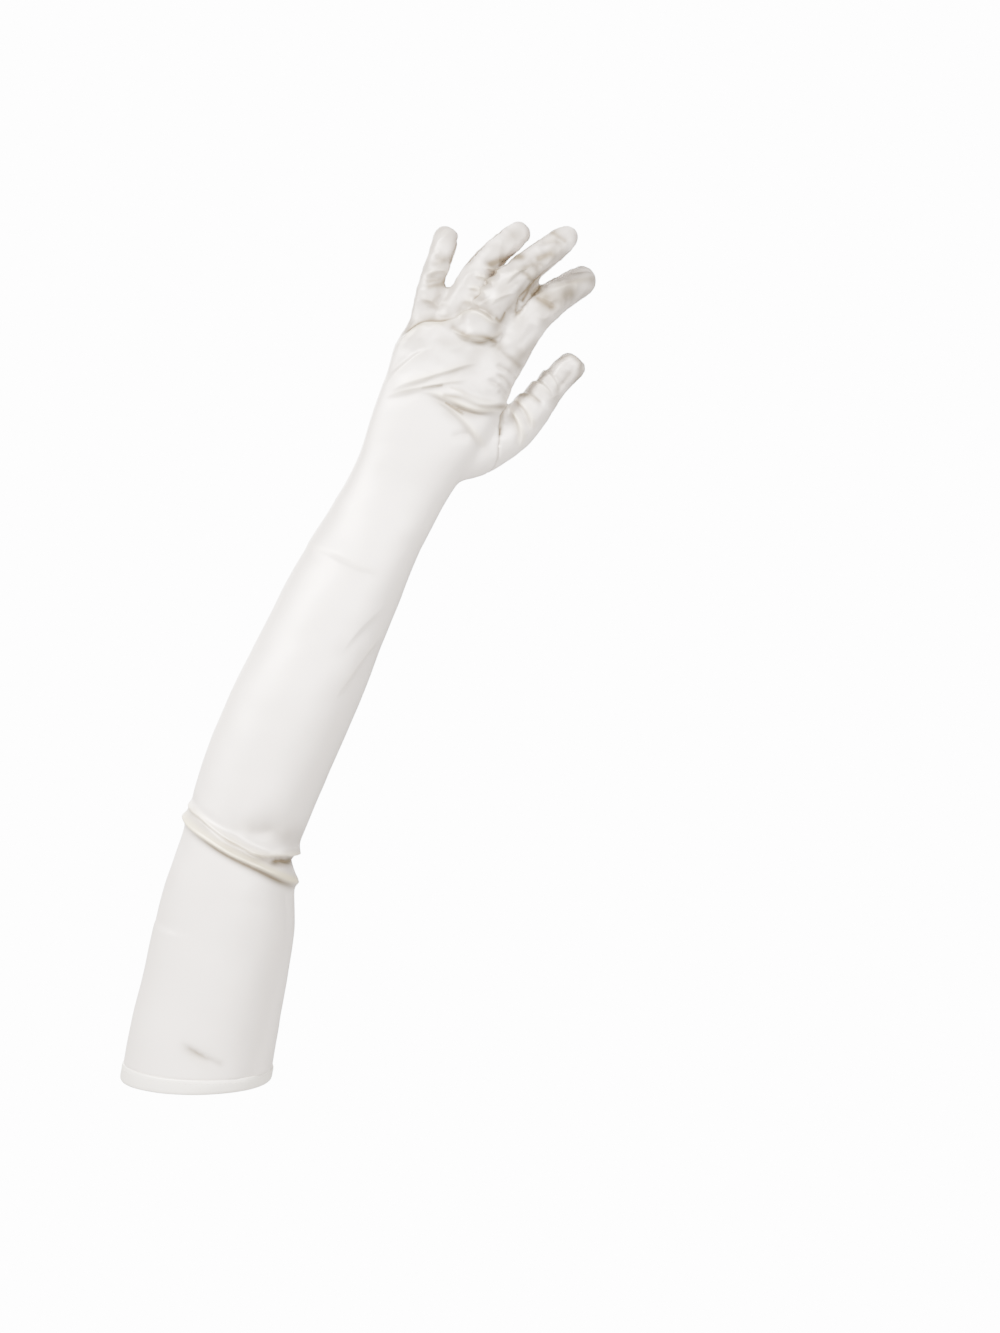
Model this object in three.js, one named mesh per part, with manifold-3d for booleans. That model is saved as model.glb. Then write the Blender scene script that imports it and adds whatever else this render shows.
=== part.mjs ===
// A long satin evening glove for a left hand, worn shape, seen from the back of the hand.
// Millimetres, +Z up, the viewer stands on the -Y side. The origin is the middle of the arm opening,
// from which the sleeve rises past the elbow and the wrist to five spread fingers.
import * as THREE from "three";
import { mergeVertices } from "three/addons/utils/BufferGeometryUtils.js";
import Module from "manifold-3d";

const wasm = await Module();
wasm.setup();

// Cloth
const WALL = 1.3;
const HEM_HEIGHT = 8.5;
const HEM_WALL = 2.4;
const HEM_PROUD = 0.7;
const PIECE_GAP = 0.35;

// Sleeve and hand, measured across the glove as worn
const UPPER_SLEEVE_LENGTH = 153;
const ELBOW_SIDE_LENGTH = 149;
const WRIST_SIDE_LENGTH = 83;
const HAND_LENGTH = 104;
const OPENING_WIDTH = 89;
const UPPER_SLEEVE_WIDTH = 80;
const FOREARM_WIDTH = 73;
const WRIST_WIDTH = 58;
const KNUCKLE_WIDTH = 76;

// Fingers, from the knuckle joint to the tip
const INDEX_LENGTH = 91.5;
const MIDDLE_LENGTH = 103;
const RING_LENGTH = 98.5;
const LITTLE_LENGTH = 83;
const THUMB_LENGTH = 103;
const INDEX_WIDTH = 22;
const MIDDLE_WIDTH = 21.5;
const RING_WIDTH = 20.5;
const LITTLE_WIDTH = 18.5;
const THUMB_WIDTH = 23;

// Folds of the worn cloth
const ELBOW_ROLL_HEIGHT = 5.5;
const SMALL_FOLD_HEIGHT = 2.6;
const THUMB_RIB_HEIGHT = 1.1;

// Seam strips between the fingers
const STRIP_HALF_ANGLE = 30;
const STRIP_TIP_HALF_ANGLE = 12;
const STRIP_REACH = 1.45;

// Mesh fineness
const SLEEVE_SIDES = 28;
const LINING_SIDES = 16;
const FINGER_SIDES = 12;
const FINGER_LINING_SIDES = 8;

const { degToRad, clamp, lerp, smoothstep } = THREE.MathUtils;
const FULL_TURN = 2 * Math.PI;
const VIEWER_BACK = new THREE.Vector3(0, 1, 0);
const SOFTEN_STEPS = [-1, -0.75, -0.5, -0.25, 0, 0.25, 0.5, 0.75, 1];

// A direction that leans from straight up towards +X and falls away from the viewer, in degrees.
function heading(lean, away) {
  const flat = Math.cos(degToRad(away));
  return new THREE.Vector3(Math.sin(degToRad(lean)) * flat, Math.sin(degToRad(away)), Math.cos(degToRad(lean)) * flat);
}

// The named column of a table at a distance along it, with its corners rounded over the given reach.
function column(rows, name, reach) {
  const linear = (distance) => {
    const next = rows.findIndex((row) => row.along > distance);
    if (next === 0) return rows[0][name];
    if (next < 0) return rows.at(-1)[name];
    const [before, after] = [rows[next - 1], rows[next]];
    return lerp(before[name], after[name], (distance - before.along) / (after.along - before.along));
  };
  return (distance) =>
    SOFTEN_STEPS.reduce((sum, step) => sum + linear(distance + step * reach), 0) / SOFTEN_STEPS.length;
}

// A bent centre line made of straight runs whose corners are rounded over the given reach.
class Spine {
  constructor(start, runs, reach) {
    this.reach = reach;
    this.runs = runs.map((run) => ({ ...run, toward: heading(run.lean, run.away) }));
    this.length = runs.reduce((sum, run) => sum + run.length, 0);
    this.start = start;
  }

  straight(distance) {
    const point = this.start.clone();
    let left = distance;
    for (const [index, run] of this.runs.entries()) {
      const step = index === this.runs.length - 1 ? left : Math.min(left, run.length);
      point.addScaledVector(run.toward, step);
      left -= step;
      if (left === 0) break;
    }
    return point;
  }

  at(distance) {
    const sum = new THREE.Vector3();
    for (const step of SOFTEN_STEPS) sum.add(this.straight(distance + step * this.reach));
    return sum.divideScalar(SOFTEN_STEPS.length);
  }

  headingAt(distance) {
    return this.at(distance + 1).sub(this.at(distance - 1)).normalize();
  }
}

// A closed solid whose wall is placed by surface(distance, angle) at each station, with flat ends.
function tube(sides, stations, surface) {
  const geometry = new THREE.CylinderGeometry(1, 1, 1, sides, stations.length - 1);
  const positions = geometry.attributes.position;
  const vertex = new THREE.Vector3();
  const middles = stations.map((distance) => {
    const sum = new THREE.Vector3();
    for (let side = 0; side < sides; side++) sum.add(surface(distance, (side / sides) * FULL_TURN));
    return sum.divideScalar(sides);
  });
  for (let index = 0; index < positions.count; index++) {
    vertex.fromBufferAttribute(positions, index);
    const station = Math.round((vertex.y + 0.5) * (stations.length - 1));
    const onAxis = Math.hypot(vertex.x, vertex.z) < 0.5;
    const angle = (Math.atan2(-vertex.x, vertex.z) + FULL_TURN) % FULL_TURN;
    const placed = onAxis ? middles[station] : surface(stations[station], angle);
    positions.setXYZ(index, placed.x, placed.y, placed.z);
  }
  return solidFrom(geometry);
}

// The closed geometry as a solid that can be joined and cut.
function solidFrom(geometry) {
  geometry.deleteAttribute("normal");
  geometry.deleteAttribute("uv");
  const merged = mergeVertices(geometry, 1e-3);
  return new wasm.Manifold(
    new wasm.Mesh({
      numProp: 3,
      vertProperties: new Float32Array(merged.attributes.position.array),
      triVerts: new Uint32Array(merged.index.array),
    }),
  );
}

function geometryFrom(solid) {
  const mesh = solid.getMesh();
  const geometry = new THREE.BufferGeometry();
  geometry.setAttribute("position", new THREE.BufferAttribute(mesh.vertProperties, 3));
  geometry.setIndex(new THREE.BufferAttribute(mesh.triVerts, 1));
  geometry.computeVertexNormals();
  return geometry;
}

const joined = (solids) => solids.reduce((sum, solid) => sum.add(solid));

// The piece itself without the crumbs that a grazing cut leaves beside it.
const largest = (solid) => solid.decompose().sort((a, b) => b.volume() - a.volume())[0];

// Evenly spread stations from first to last, both included.
function evenly(first, last, count) {
  return Array.from({ length: count }, (_, index) => lerp(first, last, index / (count - 1)));
}

// The rounded cross-section: square 2 is an ellipse and more is boxier.
function rounded(angle, square) {
  const bend = (value) => Math.sign(value) * Math.abs(value) ** (2 / square);
  return [bend(Math.cos(angle)), bend(Math.sin(angle))];
}

// Sleeve and hand

const sleeveRuns = [
  { length: UPPER_SLEEVE_LENGTH, lean: 11.3, away: -8 },
  { length: ELBOW_SIDE_LENGTH, lean: 22.4, away: -1 },
  { length: WRIST_SIDE_LENGTH, lean: 27.7, away: 3 },
  { length: HAND_LENGTH, lean: 24.8, away: -5 },
];
const BEND_REACH = 26;
const sleeveSpine = new Spine(new THREE.Vector3(0, 0, 0), sleeveRuns, BEND_REACH);
const runStarts = sleeveRuns.map((_, index) => sleeveRuns.slice(0, index).reduce((sum, run) => sum + run.length, 0));
const [, ELBOW_AT, , WRIST_AT] = runStarts;
const HAND_END = sleeveSpine.length;

// One row for each section. run and at place it, depth is a share of the width, square is the section's
// boxiness, plane is the lean of the section's own plane in degrees, and shift moves it across by a share.
const sleeveSections = [
  { run: 0, at: 0, width: OPENING_WIDTH * 1.01, depth: 0.95, square: 2, plane: 0, shift: 0 },
  { run: 0, at: 0.16, width: OPENING_WIDTH * 0.995, depth: 0.95, square: 2, plane: 6, shift: -0.01 },
  { run: 0, at: 0.38, width: UPPER_SLEEVE_WIDTH * 1.07, depth: 0.96, square: 2, plane: 11.3, shift: 0 },
  { run: 0, at: 0.66, width: UPPER_SLEEVE_WIDTH * 1.035, depth: 0.97, square: 2, plane: 17, shift: 0.005 },
  { run: 0, at: 0.88, width: UPPER_SLEEVE_WIDTH * 0.97, depth: 0.98, square: 2, plane: 30, shift: 0.01 },
  { run: 1, at: 0.02, width: FOREARM_WIDTH * 0.97, depth: 0.98, square: 2, plane: 28, shift: -0.045 },
  { run: 1, at: 0.3, width: FOREARM_WIDTH * 0.995, depth: 0.95, square: 2, plane: 22.4, shift: -0.035 },
  { run: 1, at: 0.56, width: FOREARM_WIDTH, depth: 0.93, square: 2, plane: 22.4, shift: -0.025 },
  { run: 1, at: 0.78, width: FOREARM_WIDTH * 0.96, depth: 0.9, square: 2, plane: 24, shift: 0 },
  { run: 2, at: 0, width: FOREARM_WIDTH * 0.915, depth: 0.86, square: 2, plane: 26, shift: 0 },
  { run: 2, at: 0.45, width: WRIST_WIDTH * 1.045, depth: 0.78, square: 2.1, plane: 27.7, shift: 0 },
  { run: 2, at: 0.85, width: WRIST_WIDTH, depth: 0.72, square: 2.2, plane: 27, shift: 0 },
  { run: 3, at: 0.05, width: WRIST_WIDTH * 1.03, depth: 0.68, square: 2.3, plane: 25.5, shift: 0 },
  { run: 3, at: 0.28, width: KNUCKLE_WIDTH * 0.9, depth: 0.56, square: 2.4, plane: 24.8, shift: 0.01 },
  { run: 3, at: 0.5, width: KNUCKLE_WIDTH * 0.97, depth: 0.46, square: 2.4, plane: 24.8, shift: 0.02 },
  { run: 3, at: 0.76, width: KNUCKLE_WIDTH, depth: 0.385, square: 2.4, plane: 24.8, shift: -0.01 },
  { run: 3, at: 1, width: KNUCKLE_WIDTH * 0.93, depth: 0.35, square: 2.4, plane: 24.8, shift: -0.03 },
].map((row) => ({ ...row, along: runStarts[row.run] + row.at * sleeveRuns[row.run].length }));
const SECTION_REACH = 9;
const sleeveColumn = Object.fromEntries(
  ["width", "depth", "square", "plane", "shift"].map((name) => [name, column(sleeveSections, name, SECTION_REACH)]),
);

// One row for each fold around the sleeve and hand. at is a share of its run, faces is the middle of the
// fold around the arm (0 thumb side, 90 back of the hand, 180 little finger side), spread is its half
// length in degrees, height, above and below are shares of the size named in follows, and slope raises the
// fold by a share of that size for each radian.
const sleeveFolds = [
  { run: 0, at: 0.93, faces: 150, spread: 260, follows: "roll", height: 0.9, above: 2.6, below: 0.7, slope: 0 },
  { run: 1, at: 0.05, faces: 30, spread: 66, follows: "fold", height: 1.2, above: 1.5, below: 1.3, slope: -1.6 },
  { run: 1, at: 0.1, faces: 320, spread: 80, follows: "fold", height: 0.9, above: 2, below: 1.6, slope: -2 },
  { run: 2, at: 0.62, faces: 165, spread: 90, follows: "fold", height: 0.6, above: 1.8, below: 1.8, slope: -2 },
  { run: 2, at: 0.86, faces: 120, spread: 95, follows: "fold", height: 0.55, above: 1.8, below: 1.8, slope: -3 },
  { run: 3, at: 0.34, faces: 62, spread: 66, follows: "fold", height: 0.62, above: 1.5, below: 1.3, slope: 1.5 },
  { run: 3, at: 0.5, faces: 128, spread: 48, follows: "fold", height: 0.5, above: 1.5, below: 1.3, slope: -4 },
  { run: 3, at: 0.8, faces: 118, spread: 58, follows: "fold", height: 0.6, above: 1.6, below: 1.1, slope: -3.5 },
  { run: 3, at: 0.42, faces: 285, spread: 70, follows: "fold", height: 0.55, above: 1.6, below: 1.4, slope: 1.5 },
];
const foldSizes = { roll: ELBOW_ROLL_HEIGHT, fold: SMALL_FOLD_HEIGHT };

// A ridge that rises to 1 at zero, gentle above and steep below.
const ridge = (offset, above, below) => Math.exp(-((offset / (offset > 0 ? above : below)) ** 2));

// How far the folds stand proud of the plain sleeve.
function sleeveRelief(distance, angle) {
  return sleeveFolds.reduce((sum, fold) => {
    const size = foldSizes[fold.follows];
    const turn = ((angle - degToRad(fold.faces) + 3 * Math.PI) % FULL_TURN) - Math.PI;
    const fade = Math.cos(clamp(turn / degToRad(fold.spread), -1, 1) * (Math.PI / 2));
    const middle = runStarts[fold.run] + fold.at * sleeveRuns[fold.run].length + turn * fold.slope * size;
    return sum + size * fold.height * fade * ridge(distance - middle, fold.above * size, fold.below * size);
  }, 0);
}

// The web between the fingers closes the hand in a thin rounded edge.
const WEB_LENGTH = HAND_LENGTH * 0.13;
const WEB_CORNER = 0.22;

// The sleeve's surface, grown outwards by grow.
function sleeveSurface(grow, withFolds) {
  return (distance, angle) => {
    const lean = sleeveColumn.plane(distance);
    const spineHeading = sleeveSpine.headingAt(distance);
    const plane = heading(lean, 0).setY(spineHeading.y).normalize();
    const across = new THREE.Vector3().crossVectors(VIEWER_BACK, plane).normalize();
    const toward = new THREE.Vector3().crossVectors(across, plane);
    const into = clamp((distance - grow - (HAND_END - WEB_LENGTH)) / WEB_LENGTH, 0, 1);
    const close = Math.sqrt(1 - into ** 2);
    const width = sleeveColumn.width(distance);
    const relief = withFolds ? sleeveRelief(distance, angle) : Math.min(sleeveRelief(distance, angle), WALL * 4);
    const halfWidth = (width / 2) * lerp(1, close, WEB_CORNER) + grow;
    const halfDepth = ((width * sleeveColumn.depth(distance)) / 2) * lerp(close, 1, WEB_CORNER) + grow;
    const [sideways, outwards] = rounded(angle, sleeveColumn.square(distance));
    const wide = Math.min(halfWidth + relief, halfWidth * 1.3);
    return sleeveSpine
      .at(distance)
      .addScaledVector(across, sideways * wide + sleeveColumn.shift(distance) * width)
      .addScaledVector(toward, outwards * (halfDepth + relief));
  };
}

// Stations lie close together where the sleeve folds.
const ROLL_AT = ELBOW_AT - UPPER_SLEEVE_LENGTH * 0.07;
const ELBOW_ZONE = 5 * ELBOW_ROLL_HEIGHT;
const sleeveStations = (first, last) => [
  ...evenly(first, ROLL_AT - 0.9 * ELBOW_ZONE, 5),
  ...evenly(ROLL_AT - 0.4 * ELBOW_ZONE, ROLL_AT + 1.3 * ELBOW_ZONE, 14),
  ...evenly(ROLL_AT + 1.9 * ELBOW_ZONE, WRIST_AT - WRIST_SIDE_LENGTH * 0.6, 5),
  ...evenly(WRIST_AT - WRIST_SIDE_LENGTH * 0.45, HAND_END - WEB_LENGTH, 16),
  ...[0.4, 0.75, 0.985].map((share) => HAND_END - WEB_LENGTH * (1 - share)).filter((at) => at < last),
];

// Fingers

// One row for each finger. across is a share of the knuckle width, back is how far its joint lies behind
// the web as a share of the hand, toward the viewer a share of the finger's width. Each bone has its share
// of the finger's length, its lean and how far it bends away from the viewer, in degrees.
const fingers = [
  {
    name: "index", length: INDEX_LENGTH, width: INDEX_WIDTH, across: 0.35, back: 0.21, toward: 0, blunt: 2.2,
    bones: [
      { share: 0.34, lean: 28, away: -5 },
      { share: 0.2, lean: 45, away: 6 },
      { share: 0.24, lean: 54, away: 42 },
      { share: 0.22, lean: 55.5, away: 30 },
    ],
  },
  {
    name: "middle", length: MIDDLE_LENGTH, width: MIDDLE_WIDTH, across: 0.065, back: 0.21, toward: 0.24, blunt: 2.2,
    bones: [
      { share: 0.25, lean: 24.8, away: -9 },
      { share: 0.25, lean: 34.4, away: -4 },
      { share: 0.245, lean: 51, away: 18 },
      { share: 0.255, lean: 52.6, away: 16 },
    ],
  },
  {
    name: "ring", length: RING_LENGTH, width: RING_WIDTH, across: -0.175, back: 0.275, toward: -0.05, blunt: 2.2,
    bones: [
      { share: 0.272, lean: 19.6, away: -3 },
      { share: 0.194, lean: 32.2, away: 4 },
      { share: 0.258, lean: 38.9, away: 20 },
      { share: 0.276, lean: 47.8, away: 18 },
    ],
  },
  {
    name: "little", length: LITTLE_LENGTH, width: LITTLE_WIDTH, across: -0.322, back: 0.372, toward: -0.1, blunt: 2.6,
    bones: [
      { share: 0.316, lean: 16, away: -6 },
      { share: 0.227, lean: 16.7, away: -3 },
      { share: 0.207, lean: 18.4, away: 9 },
      { share: 0.25, lean: 15.7, away: 10 },
    ],
  },
];
const thumb = {
  name: "thumb", length: THUMB_LENGTH, width: THUMB_WIDTH, across: 0.3, back: 0.83, toward: -0.12, blunt: 3.2,
  bones: [
    { share: 0.309, lean: 60.9, away: 9 },
    { share: 0.163, lean: 54, away: 6 },
    { share: 0.124, lean: 39, away: 3 },
    { share: 0.158, lean: 37.3, away: 0 },
    { share: 0.246, lean: 48, away: -4 },
  ],
};

// Girth along a finger and along the thumb, in shares of its length and width.
const fingerGirth = [
  { along: 0, girth: 1.02 },
  { along: 0.3, girth: 1.05 },
  { along: 0.5, girth: 1.03 },
  { along: 0.72, girth: 0.91 },
  { along: 1, girth: 0.84 },
];
const thumbGirth = [
  { along: 0, girth: 1.42 },
  { along: 0.3, girth: 1.27 },
  { along: 0.47, girth: 1.13 },
  { along: 0.62, girth: 0.98 },
  { along: 0.78, girth: 0.9 },
  { along: 1, girth: 0.86 },
];
const FINGER_DEPTH = 0.94;
const GIRTH_REACH = 0.06;
const JOINT_REACH = 0.09;

// One row for each rib of gathered cloth across the thumb: where it crosses as a share of the length, how
// much higher it runs on the outer side as a share of the width, and its height as a share of the rib height.
const thumbRibs = [
  { at: 0.42, slope: 0.34, height: 1 },
  { at: 0.5, slope: 0.3, height: 1.1 },
  { at: 0.58, slope: 0.26, height: 1.2 },
  { at: 0.66, slope: 0.2, height: 1.1 },
  { at: 0.75, slope: 0.12, height: 0.8 },
];
const RIB_HALF_WIDTH = 0.1;

// The finger with its centre line and its surface, grown outwards by grow.
function makeFinger(shape, girthRows, ribs) {
  const handHeading = sleeveSpine.headingAt(HAND_END);
  const across = new THREE.Vector3().crossVectors(VIEWER_BACK, handHeading).normalize();
  const toward = new THREE.Vector3().crossVectors(across, handHeading);
  const start = sleeveSpine
    .at(HAND_END)
    .addScaledVector(handHeading, -shape.back * HAND_LENGTH)
    .addScaledVector(across, shape.across * KNUCKLE_WIDTH)
    .addScaledVector(toward, shape.toward * shape.width);
  const runs = shape.bones.map((bone) => ({ ...bone, length: bone.share * shape.length }));
  const spine = new Spine(start, runs, JOINT_REACH * shape.length);
  const girth = column(girthRows, "girth", GIRTH_REACH);
  const tipLength = shape.width * 0.48;

  const surface = (grow) => (distance, angle) => {
    const end = shape.length + grow;
    const into = clamp((distance - (end - tipLength)) / tipLength, 0, 1);
    const close = (1 - into ** shape.blunt) ** (1 / shape.blunt);
    const ahead = spine.headingAt(distance);
    const sideways = new THREE.Vector3().crossVectors(VIEWER_BACK, ahead).normalize();
    const outwards = new THREE.Vector3().crossVectors(sideways, ahead);
    const relief = ribs.reduce((sum, rib) => {
      const middle = rib.at * shape.length - Math.cos(angle) * rib.slope * shape.width;
      const offset = distance - middle;
      const halfWidth = RIB_HALF_WIDTH * shape.width;
      return sum + THUMB_RIB_HEIGHT * rib.height * ridge(offset, halfWidth * 1.3, halfWidth);
    }, 0);
    const radius = ((shape.width / 2) * girth(distance / shape.length) + grow + relief) * close;
    return spine
      .at(distance)
      .addScaledVector(sideways, Math.cos(angle) * radius)
      .addScaledVector(outwards, Math.sin(angle) * radius * FINGER_DEPTH);
  };

  const solid = (grow, sides, count) => {
    const end = shape.length + grow;
    const tip = [0.35, 0.65, 0.87, 0.98].map((share) => end - tipLength * (1 - share));
    return tube(sides, [...evenly(0, end - tipLength, count), ...tip], surface(grow));
  };
  return { ...shape, spine, girth, tipLength, solid };
}

// The volume that cuts out the seam strip on one side of a finger: a blade from the centre line outwards.
// side is 1 towards the thumb and -1 towards the little finger.
function blade(finger, side, spare) {
  const first = finger.back * HAND_LENGTH - WEB_LENGTH * 0.6;
  const last = finger.length - finger.tipLength * 0.75;
  const stations = evenly(first, last, 10);
  stations[0] -= spare;
  stations[stations.length - 1] += spare;
  const geometry = new THREE.CylinderGeometry(1, 1, 1, 3, stations.length - 1);
  const positions = geometry.attributes.position;
  const corner = new THREE.Vector3();
  for (let index = 0; index < positions.count; index++) {
    corner.fromBufferAttribute(positions, index);
    const distance = stations[Math.round((corner.y + 0.5) * (stations.length - 1))];
    const share = clamp((distance - first) / (last - first), 0, 1);
    const radius = (finger.width / 2) * finger.girth(distance / finger.length);
    const half = degToRad(lerp(STRIP_HALF_ANGLE, STRIP_TIP_HALF_ANGLE, share ** 2));
    const reach = radius * STRIP_REACH + 2 * spare;
    const rise = reach * Math.tan(half) + (2 * spare) / Math.cos(half);
    const ahead = finger.spine.headingAt(distance);
    const sideways = new THREE.Vector3().crossVectors(VIEWER_BACK, ahead).normalize().multiplyScalar(side);
    const outwards = new THREE.Vector3().crossVectors(sideways, ahead);
    const turn = Math.atan2(corner.x, corner.z);
    const onAxis = Math.hypot(corner.x, corner.z) < 0.5;
    const rank = onAxis ? 3 : Math.round((turn / FULL_TURN) * 3 + 3) % 3;
    const [out, up] = [
      [-2 * spare, 0],
      [reach, rise],
      [reach, -rise],
      [reach * 0.66, 0],
    ][rank];
    const placed = finger.spine.at(distance).addScaledVector(sideways, out).addScaledVector(outwards, up);
    positions.setXYZ(index, placed.x, placed.y, placed.z);
  }
  return solidFrom(geometry);
}

// Assembly

const made = fingers.map((shape) => makeFinger(shape, fingerGirth, []));
const madeThumb = makeFinger(thumb, thumbGirth, thumbRibs);
const SEAM_START = HEM_HEIGHT + PIECE_GAP;

const outerBody = (grow) =>
  joined([
    tube(SLEEVE_SIDES, sleeveStations(SEAM_START, HAND_END), sleeveSurface(grow, true)),
    ...made.map((finger) => finger.solid(grow, FINGER_SIDES, 9)),
  ]);
const lining = joined([
  tube(LINING_SIDES, [-5, ...sleeveStations(SEAM_START, HAND_END - WALL)], sleeveSurface(-WALL, false)),
  ...made.map((finger) => finger.solid(-WALL, FINGER_LINING_SIDES, 7)),
]);
const thumbLining = madeThumb.solid(-WALL, FINGER_LINING_SIDES, 12);
const thumbOuter = madeThumb.solid(0, FINGER_SIDES, 24);

const shell = outerBody(0).subtract(lining).subtract(thumbLining);
const strips = [
  ["fourchette_index_middle", made[0], made[1]],
  ["fourchette_middle_ring", made[1], made[2]],
  ["fourchette_ring_little", made[2], made[3]],
].map(([name, nearThumb, nearLittle]) => ({
  name,
  solid: shell.intersect(blade(nearThumb, -1, 0).add(blade(nearLittle, 1, 0))),
  room: blade(nearThumb, -1, PIECE_GAP).add(blade(nearLittle, 1, PIECE_GAP)),
}));
const mainPanel = strips.reduce((solid, strip) => solid.subtract(strip.room), shell);
const thumbPiece = thumbOuter.subtract(thumbLining).subtract(outerBody(PIECE_GAP)).subtract(lining);
const hem = tube(SLEEVE_SIDES, [0, HEM_HEIGHT * 0.15, HEM_HEIGHT * 0.85, HEM_HEIGHT], sleeveSurface(HEM_PROUD, true))
  .subtract(tube(SLEEVE_SIDES, [-5, HEM_HEIGHT + 5], sleeveSurface(HEM_PROUD - HEM_WALL, true)));

const satin = new THREE.MeshStandardMaterial({ color: 0xeeebe6, roughness: 0.38, metalness: 0 });
const hemSatin = new THREE.MeshStandardMaterial({ color: 0xf1eee8, roughness: 0.45, metalness: 0 });

const glove = new THREE.Group();
function addPiece(name, solid, material) {
  const mesh = new THREE.Mesh(geometryFrom(largest(solid)), material);
  mesh.name = name;
  glove.add(mesh);
}
addPiece("main_panel", mainPanel, satin);
addPiece("thumb", thumbPiece, satin);
for (const strip of strips) addPiece(strip.name, strip.solid, satin);
addPiece("hem", hem, hemSatin);

export default glove;
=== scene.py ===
"""Satin opera glove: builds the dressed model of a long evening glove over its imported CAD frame.

Run it in Blender 4.5. Lengths in the tables are millimetres in the glove's frame: +Z up from the arm
opening, +X towards the thumb, +Y away from the viewer. Meshes are made in metres.
"""

import math

import bmesh
import bpy
import numpy as np
from bpy.props import FloatProperty, FloatVectorProperty, IntProperty, PointerProperty
from mathutils import Matrix, Vector, noise


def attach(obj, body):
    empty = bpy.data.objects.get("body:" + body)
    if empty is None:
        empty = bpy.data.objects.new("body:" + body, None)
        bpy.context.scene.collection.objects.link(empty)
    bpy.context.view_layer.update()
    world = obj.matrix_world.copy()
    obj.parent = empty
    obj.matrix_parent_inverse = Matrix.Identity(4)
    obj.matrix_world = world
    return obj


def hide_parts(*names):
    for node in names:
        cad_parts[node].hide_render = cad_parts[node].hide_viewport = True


bl_info = {
    "name": "Satin Opera Glove",
    "version": (1, 0, 0),
    "blender": (4, 5, 0),
    "location": "3D View > Sidebar > Glove",
    "description": "Builds a long satin evening glove with its seams, folds, hem and studio",
    "category": "Add Mesh",
}

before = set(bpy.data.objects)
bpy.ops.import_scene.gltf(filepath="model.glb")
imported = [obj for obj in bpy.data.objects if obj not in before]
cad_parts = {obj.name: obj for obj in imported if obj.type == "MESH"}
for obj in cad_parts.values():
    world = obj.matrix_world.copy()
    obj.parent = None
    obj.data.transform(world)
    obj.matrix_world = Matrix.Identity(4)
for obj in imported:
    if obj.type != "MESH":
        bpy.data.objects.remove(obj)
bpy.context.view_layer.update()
MM = 0.001

# Sleeve and hand as worn
SLEEVE_RUNS = (
    # length, lean from upright towards the thumb, fall away from the viewer, in degrees
    (153.0, 11.3, -8.0),
    (149.0, 22.4, -1.0),
    (83.0, 27.7, 3.0),
    (104.0, 24.8, -5.0),
)
BEND_REACH = 26.0
FINGER_LINE = sum(run[0] for run in SLEEVE_RUNS)
SLEEVE_END = FINGER_LINE - 4.0
HEM_HEIGHT = 8.5
WEB_LENGTH = 13.5
KNUCKLE_WIDTH = 76.0
HAND_LENGTH = 104.0

# A row for each section: how far along the sleeve, width, depth as a share of the width, boxiness, the
# lean of the section's own plane, and its sideways shift as a share of the width.
SECTION_COLUMNS = ("along", "width", "depth", "square", "plane", "shift")
SLEEVE_SECTIONS = (
    (0.0, 89.9, 0.95, 2.0, 0.0, 0.0),
    (24.5, 88.6, 0.95, 2.0, 6.0, -0.01),
    (58.1, 85.6, 0.96, 2.0, 11.3, 0.0),
    (101.0, 82.8, 0.97, 2.0, 17.0, 0.005),
    (134.6, 77.6, 0.98, 2.0, 33.0, 0.02),
    (156.0, 70.8, 0.98, 2.0, 30.0, -0.03),
    (197.7, 72.6, 0.95, 2.0, 22.4, -0.035),
    (236.4, 73.0, 0.93, 2.0, 22.4, -0.025),
    (269.2, 70.1, 0.90, 2.0, 24.0, 0.0),
    (302.0, 66.8, 0.86, 2.0, 26.0, 0.0),
    (339.4, 60.6, 0.78, 2.1, 27.7, 0.0),
    (372.6, 58.0, 0.72, 2.2, 27.0, 0.0),
    (390.2, 59.7, 0.68, 2.3, 25.5, 0.0),
    (414.1, 68.4, 0.56, 2.4, 24.8, 0.01),
    (437.0, 73.7, 0.46, 2.4, 24.8, 0.02),
    (464.0, 76.0, 0.385, 2.4, 17.0, -0.01),
    (489.0, 70.7, 0.35, 2.4, 6.0, -0.03),
)
SECTION_REACH = 9.0

# A row for each finger: its length and width, its joint's place across the knuckles and behind the web as
# shares of the hand, its place towards the viewer as a share of its width, and the bluntness of its tip.
FINGER_COLUMNS = ("length", "width", "across", "back", "toward", "blunt")
FINGERS = {
    "index": (91.5, 22.0, 0.345, 0.21, 0.0, 2.1),
    "middle": (103.0, 21.5, 0.07, 0.21, 0.24, 2.1),
    "ring": (98.5, 20.5, -0.168, 0.275, -0.05, 2.2),
    "little": (83.0, 18.5, -0.335, 0.372, -0.1, 2.8),
    "thumb": (103.0, 23.0, 0.3, 0.83, -0.12, 3.4),
}
# The bones of each finger: share of the length, lean and fall away from the viewer in degrees.
BONES = {
    "index": ((0.34, 28.0, -5.0), (0.2, 45.0, 6.0), (0.24, 54.0, 42.0), (0.22, 55.5, 30.0)),
    "middle": ((0.25, 24.8, -9.0), (0.25, 34.4, -4.0), (0.245, 51.0, 18.0), (0.255, 52.6, 16.0)),
    "ring": ((0.272, 20.6, -3.0), (0.194, 32.2, 4.0), (0.258, 38.9, 20.0), (0.276, 47.8, 18.0)),
    "little": ((0.316, 14.6, -6.0), (0.227, 16.7, -3.0), (0.207, 18.4, 9.0), (0.25, 15.7, 10.0)),
    "thumb": (
        (0.309, 60.9, 9.0),
        (0.163, 54.0, 6.0),
        (0.124, 39.0, 3.0),
        (0.158, 37.3, 0.0),
        (0.246, 48.0, -4.0),
    ),
}
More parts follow.
